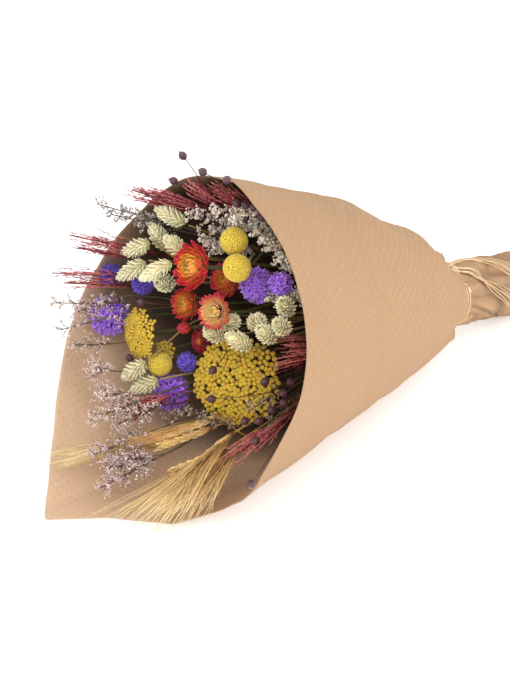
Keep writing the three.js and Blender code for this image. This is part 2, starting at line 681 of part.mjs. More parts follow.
/** Mean place of picture-placed tips, used to choose where a spray's stem stands. */
const meanOf = (points) =>
  points.reduce((sum, p) => sum.add(p), V(0, 0, 0)).divideScalar(points.length);
const tipsOf = (rows) => rows.map(([x, y, w]) => seen(x, y, w));
const sprays = [
  ...grassBunches.map((g) => ({ node: g.node, kind: "canary", tips: g.placed.map((p) => p.foot) })),
  ...BARLEY.map((b, n) => ({
    node: "barley_" + (n + 1), kind: "barley", bunch: b,
    tips: b.ears.map(([x, y]) => seen(x, y, b.earFoot)),
  })),
  ...FLAX.map((t, n) => ({ node: "flax_" + (n + 1), kind: "flax", tips: tipsOf(t) })),
  ...RED.map((t, n) => ({ node: "red_grass_" + (n + 1), kind: "red", tips: tipsOf(t) })),
  ...CREAM.map((t, n) => ({ node: "cream_spray_" + (n + 1), kind: "cream", tips: tipsOf(t) })),
  ...LAVENDER.map((t, n) => ({ node: "sea_lavender_" + (n + 1), kind: "lavender", tips: tipsOf(t) })),
];
const outerSpots = packDiscs(
  sprays.map((s) => {
    const m = meanOf(s.tips);
    return m.setZ(0).setLength(coreReach + 4 + m.length() * 0.1);
  }),
  STEM.outerRadius * 2 + STEM.clearance, coreReach + STEM.outerRadius + STEM.clearance,
);

const bundleReach = Math.max(...outerSpots.map((p) => p.length())) + STEM.outerRadius;

/** Stalk from the cut end, straight through the neck, then along `path`. */
function stemSolid(spot, path, slotRadius, radius, cut) {
  const low = spot.clone().setZ(cut);
  const high = spot.clone().setZ(FAN_START);
  return stalk([low, high, ...path], [slotRadius, slotRadius, ...path.map(() => radius)]);
}

const stemBodies = [];
const cutRandom = randomFrom(5);
[...coreSpots.map((p) => [p, STEM.coreRadius, "flower_stems"]),
  ...outerSpots.map((p, i) => [p, STEM.outerRadius, sprays[i].node])].forEach(([p, r, node]) => {
  take(p.clone().setZ(0), p.clone().setZ(FAN_START), r - 0.3, node);
});
const bends = new Map();
[...flowerStems.filter((s) => !s.branchOf), ...flowerStems.filter((s) => s.branchOf)].forEach((stem, i) => {
  const spot = coreSpots[i];
  const start = stem.branchOf ? bends.get(stem.branchOf)
    : mix(spot.clone().setZ(FAN_START), stem.end, 0.2);
  const last = stem.end.clone().addScaledVector(stem.axis, -(stem.radius + 5));
  const path = route(start, last, stem.radius, "flower_stems", 60, stem.head);
  if (!path) throw new Error("no way for the stem of " + stem.head);
  bends.set(stem.head, path[1]);
  take(path[0], path[1], stem.radius, "flower_stems");
  take(path[1], last, stem.radius, "flower_stems");
  if (stem.branchOf) {
    stemBodies.push(stalk([start, path[1], last, stem.end], [1.3, 1.4, 1.3, 1.2], 4));
    return;
  }
  take(spot.clone().setZ(FAN_START), start, STEM.coreRadius, "flower_stems");
  stemBodies.push(stemSolid(spot, [path[1], last, stem.end], STEM.coreRadius, stem.radius,
    CUT_END - 3 * cutRandom()));
});
coreSpots.slice(1).forEach((spot, i) => {
  const near = coreSpots.slice(0, i + 1).sort((a, b) => a.distanceTo(spot) - b.distanceTo(spot))[0];
  stemBodies.push(stalk([spot.clone().setZ(124 + 3 * i), near.clone().setZ(126 + 3 * i)], [1, 1], 3));
});
add(bunch.heads, "flower_stems", join(stemBodies), "stem");

// ---------------------------------------------------------------- sprays
const SPRAY = {
  canary: { colour: "canary", twig: 1.2, size: 1.2 },
  flax: { colour: "flax", twig: 0.8, size: 4.2 },
  red: { colour: "maroon", twig: 1, size: 1.6 },
  lavender: { colour: "lilac", twig: 0.9, size: 3.4, floret: 2.6, florets: 4, sway: 2.8 },
  cream: { colour: "whitish", twig: 0.9, size: 3.6, floret: 2.9, florets: 4, sway: 2.8 },
  barley: { colour: "straw", twig: 1.2, size: 3.4 },
};

/** First stations of a twig along its path, tapering a little. */
const twigStations = (path, radius) => path.map((p, i) => ({ p, a: radius * (1 - 0.1 * i) }));

/** A twig whose outer half carries florets, one after another, swaying from side to side. */
function floretTwig(path, spray, i, random) {
  const { twig, floret, florets, sway } = SPRAY[spray.kind];
  const [fork, bend, tip] = path;
  const room = isFree(mix(bend, tip, 0.36), tip, floret + 1.8, spray.node) ? 1 : 0.1;
  const size = floret * (0.55 + 0.45 * room);
  const stations = twigStations([fork, bend], twig);
  for (let k = 0; k < florets; k += 1) {
    const on = mix(bend, tip, 0.36 + (0.62 * k) / florets);
    const full = mix(bend, tip, 0.36 + (0.62 * (k + 0.55)) / florets)
      .add(polar(sway * room * (0.6 + 0.4 * random()), k * 150 + 60 * random(), 0));
    stations.push({ p: on, a: 0.7 }, { p: full, a: size * (0.8 + 0.2 * random()) });
  }
  stations.push({ p: tip, a: 0 });
  take(mix(bend, tip, 0.36), tip, size + 1.8 * room, spray.node);
  return [loft(stations, 3, polar(1, 360 * random(), 0))];
}

// What each twig of a spray carries; a path is [fork, bend, tip].
const growth = {
  canary(path, spray, i) {
    const { axis, foot } = grassBunches.find((g) => g.node === spray.node).placed[i];
    return [loft([...twigStations(path, 1.2), ...canaryStations(foot, axis)], 5, V(1, 0.2, 0))];
  },
  flax([fork, bend, tip]) {
    const axis = tip.clone().sub(bend).normalize();
    const at = (z, a) => ({ p: tip.clone().addScaledVector(axis, FLAX_POD * z), a });
    return [loft([
      ...twigStations([fork, bend], SPRAY.flax.twig), at(-0.95, 0.7), at(-0.45, FLAX_POD * 0.88),
      at(0.4, FLAX_POD * 0.9), at(1.7, 0),
    ], 4, V(1, 0.2, 0))];
  },
  red([fork, bend, tip], spray, i, random) {
    const side = polar(1, 360 * random(), 0.2);
    const pieces = [loft([
      { p: fork, a: 0.9 }, { p: bend, a: 1.1, b: 0.6 }, { p: mix(bend, tip, 0.5), a: 2, b: 0.6 },
      { p: tip, a: 0 },
    ], 3, side)];
    const root = mix(bend, tip, 0.05);
    const end = mix(bend, tip, 0.75).addScaledVector(side, i % 2 ? 8 : -8);
    if (isFree(root, end, 1.3, spray.node)) {
      take(root, end, 1.3, spray.node);
      pieces.push(blade(root, end, 3, 1.1, side));
    }
    return pieces;
  },
  lavender: floretTwig,
  cream: floretTwig,
  barley([fork, bend, tip], spray, i, random) {
    const [, , x1, y1] = spray.bunch.ears[i];
    const { earEnd, awnEnd, awns } = spray.bunch;
    const end = seen(x1, y1, earEnd);
    take(tip, end, 3.4, spray.node);
    const pieces = [loft([
      ...twigStations([fork, bend], SPRAY.barley.twig), { p: mix(tip, end, -0.05), a: 1.2 },
      { p: mix(tip, end, 0.2), a: 3.4 }, { p: mix(tip, end, 0.55), a: 3 }, { p: end, a: 0 },
    ], 5, V(1, 0.2, 0))];
    for (let k = 0; k < 5; k += 1) {
      const root = mix(tip, end, 0.25 + 0.14 * k);
      const reach = seen(awns[0] + (random() - 0.5) * 56, awns[1] + (random() - 0.5) * 26, awnEnd);
      const point = mix(root, reach, 0.82 + 0.18 * random());
      if (isFree(root, point, 0.9, spray.node)) {
        take(root, point, 0.9, spray.node);
        pieces.push(loft([{ p: root, a: 0.9 }, { p: point, a: 0 }], 3));
      }
    }
    return pieces;
  },
};

sprays.forEach((spray, n) => {
  const random = randomFrom(n + 11);
  const { twig, size, colour } = SPRAY[spray.kind];
  const neck = outerSpots[n].clone().setZ(FAN_START);
  const middle = meanOf(spray.tips);
  const trunk = [0.45, 0.38, 0.52, 0.3, 0.24, 0.18].reduce((found, share) =>
    found ?? route(neck, mix(neck, middle, share), twig + 0.8, spray.node, 60), null);
  if (!trunk) throw new Error("no way for the stem of " + spray.node);
  const fork = trunk[2];
  take(trunk[0], trunk[1], twig + 0.8, spray.node);
  take(trunk[1], fork, twig + 0.8, spray.node);
  const root = fork.clone().add(trunk[1].clone().sub(fork).setLength(5));
  const pieces = [stemSolid(outerSpots[n], [trunk[1], fork], STEM.outerRadius, twig + 0.7,
    CUT_END - 3 * cutRandom())];
  spray.tips.forEach((tip, i) => {
    const grass = spray.kind === "canary" ? grassBunches[n].placed[i] : null;
    const last = grass ? tip.clone().addScaledVector(grass.axis, -3) : tip;
    const path = isFree(last, last, size, spray.node) ? route(root, last, twig, spray.node, 40) : null;
    if (!path) throw new Error("no way to tip " + (i + 1) + " of " + spray.node);
    take(path[0], path[1], twig, spray.node);
    take(path[1], last, twig, spray.node);
    take(tip, tip, size, spray.node);
    pieces.push(...growth[spray.kind](path, spray, i, random));
  });
  add(bunch.sprays, spray.node, largest(join(pieces)), colour);
});

add(bunch.wrapping, "kraft_wrapper", kraftWrapper(), "kraft");
add(bunch.wrapping, "stem_sleeve", stemSleeve(), "sleeve");
add(bunch.wrapping, "raffia_tie", raffiaTie(), "raffia");

// ---------------------------------------------------------------- laid down on the floor
const t = rad(TILT);
bouquet.quaternion.setFromRotationMatrix(new THREE.Matrix4().makeBasis(
  V(0, -1, 0), V(Math.sin(t), 0, Math.cos(t)), V(-Math.cos(t), 0, Math.sin(t)),
));
const part = new THREE.Group();
part.name = "mixed_dried_flower_bouquet";
part.add(bouquet);
part.updateMatrixWorld(true);
const box = new THREE.Box3().setFromObject(part, true);
bouquet.position.set(-(box.min.x + box.max.x) / 2, -(box.min.y + box.max.y) / 2, -box.min.z);

export default part;
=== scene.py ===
"""Dresses the mixed dried flower bouquet: every bloom, spray and stem as fine bracts, florets and seeds, and
the wrapping as embossed kraft paper, a crumpled sleeve and raffia, in the places of the model's own nodes.

Sizes are in millimetres in the frame of the bunch: x towards the viewer's side, y up and z along the stems
from the cut ends. A skin is laid down into the model's frame, in metres, when it is written to its mesh.
"""
import logging
import math
from dataclasses import dataclass, field
from enum import Enum
from functools import cached_property

import bpy
import numpy as np
from mathutils import Matrix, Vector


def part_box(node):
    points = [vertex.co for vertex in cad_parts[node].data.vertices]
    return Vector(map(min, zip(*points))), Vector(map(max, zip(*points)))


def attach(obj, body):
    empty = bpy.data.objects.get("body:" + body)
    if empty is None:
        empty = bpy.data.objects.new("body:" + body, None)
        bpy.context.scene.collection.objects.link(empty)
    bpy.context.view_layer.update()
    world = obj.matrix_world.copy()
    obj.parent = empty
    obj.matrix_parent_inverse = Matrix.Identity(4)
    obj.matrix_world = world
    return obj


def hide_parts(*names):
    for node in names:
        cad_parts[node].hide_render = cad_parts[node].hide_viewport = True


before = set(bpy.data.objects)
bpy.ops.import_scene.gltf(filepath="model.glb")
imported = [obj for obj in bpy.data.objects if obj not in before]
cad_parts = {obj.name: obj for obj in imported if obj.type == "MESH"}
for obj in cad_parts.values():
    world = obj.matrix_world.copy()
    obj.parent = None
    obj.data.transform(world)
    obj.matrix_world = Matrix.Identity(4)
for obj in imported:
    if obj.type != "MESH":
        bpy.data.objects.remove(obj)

log = logging.getLogger("bouquet")
Array = np.ndarray
Path = list[Array]
Stops = list[tuple[float, int]] | tuple[tuple[float, int], ...]
UP = np.array([0, 0, 1.0])
GOLDEN_TURN = math.pi * (3 - math.sqrt(5))

# ---- the bunch's own sizes
TILT = math.radians(12.5)
AXIS_HEIGHT = 26.5
CUT_END = 4.0
NECK = 158.0
FAN_START = 190.0
GAP = 0.35
CANARY_LENGTH = 31.0
FLAX_POD = 4.0
STALK = 1.8
THIN_STALK = 1.4
THICK_FROM = 17.0
RIM = np.array([
    [0, 474], [20, 488], [45, 490], [70, 494], [85, 503], [100, 519], [112, 522], [125, 512],
    [138, 500], [150, 502], [165, 522], [180, 552], [192, 592], [205, 566], [222, 539],
    [240, 520], [260, 499], [280, 480], [300, 465], [325, 458], [345, 463], [360, 474],
], float)
PUFF = np.array([
    [158, 0], [186, 1], [204, 9], [229, 14], [267, 13], [283, 17], [312, 21], [347, 20],
    [373, 18], [424, 15], [475, 12], [600, 8],
], float)

# Picture positions (x, y) and heights along the bunch of every head, tip and ear.
HEADS = [
    ("strawflower_1", (194, 266, 480), 20.5), ("strawflower_2", (227, 279, 428), 17.0),
    ("strawflower_3", (186, 304, 455), 15.5), ("strawflower_4", (214, 312, 476), 16.5),
    ("strawflower_bud", (183, 328, 474), 8.5, "strawflower_3"),
    ("strawflower_5", (201, 341, 434), 12.5, "strawflower_4"),
    ("craspedia_1", (234, 241, 454), 12.3), ("craspedia_2", (237, 268, 463), 12.3),
    ("craspedia_3", (160, 364, 471), 11.3), ("yarrow_1", (237, 380, 433), 38.0),
    ("yarrow_2", (140, 334, 480), 22.0), ("yarrow_3", (165, 350, 458), 8.0, "yarrow_2"),
    ("statice_1", (257, 285, 436), 14.0), ("statice_2", (281, 284, 440), 9.5, "statice_1"),
    ("statice_3", (109, 316, 484), 17.5), ("statice_4", (143, 283, 465), 9.5, "statice_3"),
    ("statice_5", (111, 275, 478), 9.5, "statice_3"), ("statice_6", (171, 392, 457), 16.3),
    ("statice_7", (187, 362, 455), 7.5, "statice_6"),
]
# How far a head leans towards the viewer, where it is not the usual half.
LEANS = {'strawflower_1': 0.1, 'yarrow_1': 1.5, 'yarrow_2': 0.1, 'yarrow_3': 1.5}
CANARY = [
    [(186, 224, 160, 211, 455), (168, 250, 153, 228, 453), (185, 255, 172, 243, 455)],
    [(150, 243, 115, 256, 472), (146, 262, 122, 276, 478), (172, 262, 150, 274, 470),
     (172, 283, 163, 283, 462)],
    [(225, 325, 240, 318, 442), (252, 325, 264, 318, 442), (222, 338, 212, 332, 450)],
    [(290, 312, 284, 304, 430), (287, 330, 280, 325, 436), (274, 340, 264, 332, 440)],
    [(250, 348, 236, 340, 450)],
    [(146, 362, 104, 392, 488), (158, 380, 120, 396, 482)],
]
FLAX = [
    [(183, 156, 484), (203, 172, 486), (227, 180, 487), (174, 181, 474)],
    [(254, 207, 452), (246, 205, 456), (237, 203, 458), (262, 217, 450), (246, 218, 446)],
    [(284, 393, 440), (284, 403, 446), (291, 382, 436), (272, 410, 450), (265, 382, 462)],
    [(245, 421, 470), (259, 421, 460), (256, 441, 484), (251, 484, 538)],
    [(130, 358, 492), (117, 300, 498), (142, 302, 486)],
    [(213, 370, 466), (212, 399, 470)],
]
LAVENDER = [
    [(97, 204, 505), (110, 214, 498), (124, 210, 490), (140, 223, 480)],
    [(52, 303, 545), (60, 330, 545), (74, 345, 530), (76, 312, 520)],
    [(92, 368, 535), (100, 395, 535), (95, 418, 550), (118, 424, 530)],
    [(92, 455, 560), (108, 468, 556), (101, 488, 566), (126, 460, 540)],
    [(192, 215, 462), (214, 210, 460), (200, 238, 448), (212, 246, 440)],
    [(186, 412, 480), (201, 418, 474), (164, 422, 498), (250, 410, 466), (268, 424, 452)],
]
CREAM = [
    [(256, 226, 438), (258, 236, 446), (268, 246, 442), (234, 214, 456), (246, 212, 452)],
    [(277, 258, 440), (290, 264, 434), (292, 296, 432), (272, 300, 436)],
]
RED = [
    [(132, 190, 486), (152, 192, 482), (190, 186, 476), (214, 190, 466), (228, 196, 460)],
    [(52, 273, 540), (70, 235, 525), (64, 283, 535), (79, 248, 520), (92, 238, 508)],
    [(300, 352, 440), (291, 343, 438), (287, 364, 442), (262, 440, 462), (241, 450, 474)],
    [(122, 406, 510), (134, 414, 508), (146, 404, 500)],
]


@dataclass(frozen=True)
class BarleyBunch:
    """Ears from foot to tip in the picture, their heights, and where the awns reach."""

    ears: tuple[tuple[float, float, float, float], ...]
    ear_foot: float
    ear_end: float
    awns: tuple[float, float]
    awn_end: float


BARLEY = [
    BarleyBunch(((218, 416, 156, 440), (206, 420, 144, 446), (212, 428, 160, 446)), 455, 500, (58, 466), 570),
    BarleyBunch(((232, 434, 190, 470), (240, 446, 204, 482), (226, 450, 176, 470)), 462, 505,
                (150, 528), 575),
]


# ---- small helpers
def polar(radius: Array | float, phi: Array | float, z: Array | float) -> Array:
    """Points at a radius, a turn in degrees from up, and a height along the bunch."""
    radius, phi, z = np.broadcast_arrays(np.asarray(radius, float), np.radians(phi), z)
    return np.stack([radius * np.sin(phi), radius * np.cos(phi), z], axis=-1)


def unit(v: Array) -> Array:
    """Vectors scaled to length one."""
    return v / np.maximum(np.linalg.norm(v, axis=-1, keepdims=True), 1e-12)


def smoothstep(x: Array | float, a: float, b: float) -> Array:
    """Soft step from 0 at a to 1 at b."""
    t = np.clip((np.asarray(x, float) - a) / (b - a), 0.0, 1.0)
    return t * t * (3 - 2 * t)


def mix(a: Array, b: Array, t: float) -> Array:
    """The point a share t of the way from a to b."""
    return a + (b - a) * t


def linear(colour: int) -> Array:
    """Linear red, green and blue of a colour written as a hexadecimal screen colour."""
    c = np.array([(colour >> shift & 255) / 255 for shift in (16, 8, 0)])
    return np.where(c <= 0.04045, c / 12.92, ((c + 0.055) / 1.055) ** 2.4)


class Lehmer:
    """Repeatable pseudo-random numbers from a seed, by repeated multiplication."""

    def __init__(self, seed: int) -> None:
        """Starts the row of numbers at a seed."""
        self.state = seed * 7919 + 17

    def __call__(self) -> float:
        """The next number between 0 and 1."""
        self.state = self.state * 16807 % 2147483647
        return self.state / 2147483647


def ripples(u: Array, v: Array, seed: int, count: int, size: float) -> Array:
    """Smooth irregular relief: the mean of sine waves of random direction and phase.

    Args:
        u, v: Coordinates of the surface.
        seed: Seed of the waves.
        count: How many waves.
        size: Typical wavelength, in the units of u and v.

    Returns:
        Heights of about -1 to 1, shaped as u.
    """
    rng = np.random.default_rng(seed)
    turn, phase = rng.uniform(0, 2 * np.pi, (2, count))
    wave = 2 * np.pi / (size * rng.uniform(0.6, 1.6, count))
    along = u[..., None] * np.cos(turn) + v[..., None] * np.sin(turn)
    return np.sin(along * wave + phase).sum(-1) / math.sqrt(count)


# ---- paper form
@dataclass(frozen=True)
class PaperForm:
    """The paper's outer surfaces as functions of the turn round the bunch and the height along it."""

    thickness: float = 0.9
    slope: float = 0.265
    neck_radius: float = 49.0
    sleeve_radius: float = 32.0
    sleeve_foot: float = 31.6
    creases: tuple[float, ...] = (38.0, 140.0, 222.0, 306.0)

    def rim(self, phi: Array | float) -> Array:
        """Height of the free edge at a turn."""
        return np.interp(np.asarray(phi, float) % 360, RIM[:, 0], RIM[:, 1])

    def cone(self, phi: Array | float, w: Array | float) -> Array:
        """Radius of the wrapper: a cone, puffed on its upper side, pressed below, gathered at the neck.

        Args:
            phi, w: Turn in degrees from up, and height along the bunch.

        Returns:
            The neck's radius plus the slope times the way from it, plus the puff, minus the pleats.
        """
        puff = np.interp(w, PUFF[:, 0], PUFF[:, 1]) * (0.5 + 0.5 * np.cos(np.radians(phi + 8))) ** 1.3
        pressed = 4 * smoothstep(w, 420, 530) * np.maximum(0, np.cos(np.radians(phi - 181))) ** 6
        pleat = 11.8 * np.maximum(0, np.cos(np.radians((phi - 20) * 4))) ** 2 + 2.6
        gather = (1 - smoothstep(w, NECK, 225)) * pleat
        return self.neck_radius + (w - 162) * self.slope + puff + pressed - gather

    def sleeve(self, phi: Array, w: Array, bundle: float) -> Array:
        """Radius of the sleeve, pressed in along creases as far as the bundle of stems allows.

        Args:
            phi, w: Turn in degrees from up, and height along the bunch.
            bundle: Radius of the bundle of stems.

        Returns:
            The radius; each crease is a bell curve of the turn from it.
        """
        crease = np.zeros(np.broadcast(phi, w).shape)
        for i, at in enumerate(self.creases):
            off = np.abs((phi - at - (w - 100) * (0.06 if i % 2 else -0.06) + 540) % 360 - 180)
            crease = np.maximum(crease, np.exp(-((off / 15) ** 2)))
        depth = self.sleeve_radius - self.thickness - GAP - bundle
        narrow = (self.sleeve_radius - self.sleeve_foot) * (1 - smoothstep(w, 12, 110))
        return self.sleeve_radius - narrow - depth * crease * (0.35 + 0.65 * smoothstep(w, 40, 130))

    def floor(self, w: Array | float) -> Array:
        """Height y of the floor under the point w of the bunch."""
        return -(AXIS_HEIGHT + w * math.sin(TILT)) / math.cos(TILT)

    def on_floor(self, points: Array, lift: float) -> Array:
        """Presses points up onto the floor, lift above it."""
        points[..., 1] = np.maximum(points[..., 1], self.floor(points[..., 2]) + lift)
        return points


PAPER = PaperForm()


@dataclass(frozen=True)
class SightLines:
    """The reference picture's viewpoint. A head is placed by where it is seen and its height."""

    azimuth: float = math.radians(-43)
    elevation: float = math.radians(30)
    distance: float = 1215.0
    mm_per_pixel: float = 0.85
    aim_height: float = 470.0
    aim: tuple[float, float] = (205.0, 342.0)
    centre: tuple[float, float] = (255.0, 350.0)
    picture_height: float = 700.0

    def axes(self) -> tuple[Array, Array, Array]:
        """The picture's right, up and backward directions in the frame of the bunch."""
        a, e, s, c = self.azimuth, self.elevation, math.sin(TILT), math.cos(TILT)
        right = np.array([-math.sin(a), math.cos(a) * s, -math.cos(a) * c])
        back = np.array([
            math.cos(a) * math.cos(e),
            math.sin(a) * math.cos(e) * s + math.sin(e) * c,
            -math.sin(a) * math.cos(e) * c + math.sin(e) * s,
        ])
        return right, np.cross(back, right), back

    def eye(self) -> Array:
        """Where the camera stands, in the frame of the bunch."""
        right, up, back = self.axes()
        across = (self.aim[0] - self.centre[0]) * self.mm_per_pixel
        rise = (self.aim[1] - self.centre[1]) * self.mm_per_pixel
        return np.array([0, 0, self.aim_height]) - right * across + up * rise + back * self.distance

    def seen(self, px: float, py: float, w: float) -> Array:
        """The point of the bunch seen at a place of the picture, at a height.

        Args:
            px, py: Place in the picture, in pixels.
            w: Height along the bunch.

        Returns:
            Where the sight line through that place reaches the height.
        """
        right, up, back = self.axes()
        focal = self.distance / self.mm_per_pixel
        ray = -back + right * (px - self.centre[0]) / focal - up * (py - self.centre[1]) / focal
        eye = self.eye()
        return eye + ray * (w - eye[2]) / ray[2]


VIEW = SightLines()


# ---- free space and ways through it
class FreeSpace:
    """Round-ended rods that already stand in the bunch, and the search for clear ways between them."""

    def __init__(self) -> None:
        """Starts with an empty bunch."""
        self.a = np.zeros((4096, 3))
        self.b = np.zeros((4096, 3))
        self.r = np.zeros(4096)
        self.owner = np.zeros(4096, int)
        self.names: dict[str, int] = {}
        self.count = 0

    def key(self, node: str) -> int:
        """The number that stands for a node's name."""
        return self.names.setdefault(node, len(self.names))

    def take(self, a: Array, b: Array, r: float, node: str) -> None:
        """Adds a rod from a to b of radius r."""
        n = self.count
        self.a[n], self.b[n], self.r[n], self.owner[n] = a, b, r, self.key(node)
        self.count += 1

    def take_way(self, path: Path, r: float, node: str) -> None:
        """Adds a rod of radius r between every two points of a path."""
        for a, b in zip(path, path[1:]):
            self.take(a, b, r, node)

    def clear_of_paper(self, a: Array, b: Array, r: float) -> bool:
        """Whether a rod keeps clear of the paper and the floor.

        Args:
            a, b: Ends of the rod.
            r: Its radius.

        Returns:
            True where none of its points, 12 mm apart or less, comes near them.
        """
        steps = math.ceil(float(np.linalg.norm(b - a)) / 12) + 1
        p = a + (b - a) * (np.arange(steps + 1) / steps)[:, None]
        x, y, z = p.T
        phi = (np.degrees(np.arctan2(x, y)) + 360) % 360
        rim = PAPER.rim(phi)
        if (y < PAPER.floor(z) + r + 0.8).any():
            return False
        inner = PAPER.cone(phi, np.minimum(z, rim)) - PAPER.thickness - 2.2
        return not ((z - r < rim + 2) & (z > NECK + 20) & (np.hypot(x, y) + r > inner)).any()

    def is_free(self, a: Array, b: Array, r: float, node: str, head: str = "") -> bool:
        """Whether a rod keeps clear of everything but its own node and head.

        Args:
            a, b: Ends of the rod.
            r: Its radius.
            node: The node that it belongs to.
            head: The head that it carries, which it may touch.

        Returns:
            True where it is clear.
        """
        if not self.clear_of_paper(a, b, r):
            return False
        n = self.count
        c, d = self.a[:n], self.b[:n]
        u, v, w = b - a, d - c, a - c
        uu, vv, uv = u @ u + 1e-9, (v * v).sum(1) + 1e-9, v @ u
        wu, wv = w @ u, (w * v).sum(1)
        s = np.clip((uv * wv - vv * wu) / (uu * vv - uv * uv + 1e-9), 0, 1)
        t = np.clip((uv * s + wv) / vv, 0, 1)
        s = np.clip((uv * t - wu) / uu, 0, 1)
        apart = np.linalg.norm(w + u * s[:, None] - v * t[:, None], axis=1)
        own = (self.owner[:n] == self.key(node)) | (self.owner[:n] == self.key(head or node))
        return bool((own | (apart > r + self.r[:n] + GAP)).all())

    def route(self, a: Array, b: Array, r: float, node: str, reach: int = 44, head: str = "") -> Path | None:
        """Way from a to b that keeps clear, bent sideways as little as needed.

        Args:
            a, b: Ends of the way.
            r: Radius of the stalk.
            node: The node that it belongs to.
            reach: Greatest sideways bend.
            head: The head that it carries, which it may touch.

        Returns:
            Its start, its bend and its end, or None if there is no way.
        """
        for bend in range(0, reach + 1, 4):
            for k in range(10 if bend else 1):
                for share in (0.55, 0.75, 0.35):
                    middle = mix(a, b, share) + polar(bend, k * 36 + bend * 7, 0)
                    if self.is_free(a, middle, r, node) and self.is_free(middle, b, r, node, head):
                        return [a, middle, b]
        return None


class Kind(Enum):
    """What a stem carries: a kind of single head or of spray."""

    STRAWFLOWER = "strawflower"
    BUD = "bud"
    CRASPEDIA = "craspedia"
    YARROW = "yarrow"
    STATICE = "statice"
    CANARY = "canary"
    FLAX = "flax"
    RED = "red"
    CREAM = "cream"
    LAVENDER = "lavender"
    BARLEY = "barley"


@dataclass
class Head:
    """A single head: its name, size, place, direction, and the head from whose stem its own branches."""

    name: str
    size: float
    branch_of: str
    centre: Array
    axis: Array
    foot: Array = field(default_factory=lambda: np.zeros(3))
    stem: Path = field(default_factory=list)

    @property
    def kind(self) -> Kind:
        """The head's kind, from its name."""
        return Kind.BUD if self.name.endswith(Kind.BUD.value) else Kind(self.name.split("_")[0])

    @property
    def stalk(self) -> float:
        """Radius of the stalk under the head."""
        return STALK if self.size > THICK_FROM else THIN_STALK


@dataclass
class Spray:
    """A branched stem: its node, kind, tips, way through the bunch and the ways to its tips."""

    node: str
    kind: Kind
    tips: list[Array]
    number: int
    trunk: Path = field(default_factory=list)
    twigs: list[Path] = field(default_factory=list)
    axes: list[Array] = field(default_factory=list)


@dataclass(frozen=True)
class Room:
    """The room that a spray takes: radius of its twigs, of each tip and of the florets round a twig."""

    twig: float
    tip: float
    florets: float = 0.0


ROOMS = {
    Kind.CANARY: Room(1.2, 1.2), Kind.FLAX: Room(0.8, 4.2), Kind.RED: Room(1.0, 1.6),
    Kind.LAVENDER: Room(0.9, 3.4, 2.6), Kind.CREAM: Room(0.9, 3.6, 2.9), Kind.BARLEY: Room(1.2, 3.4),
}


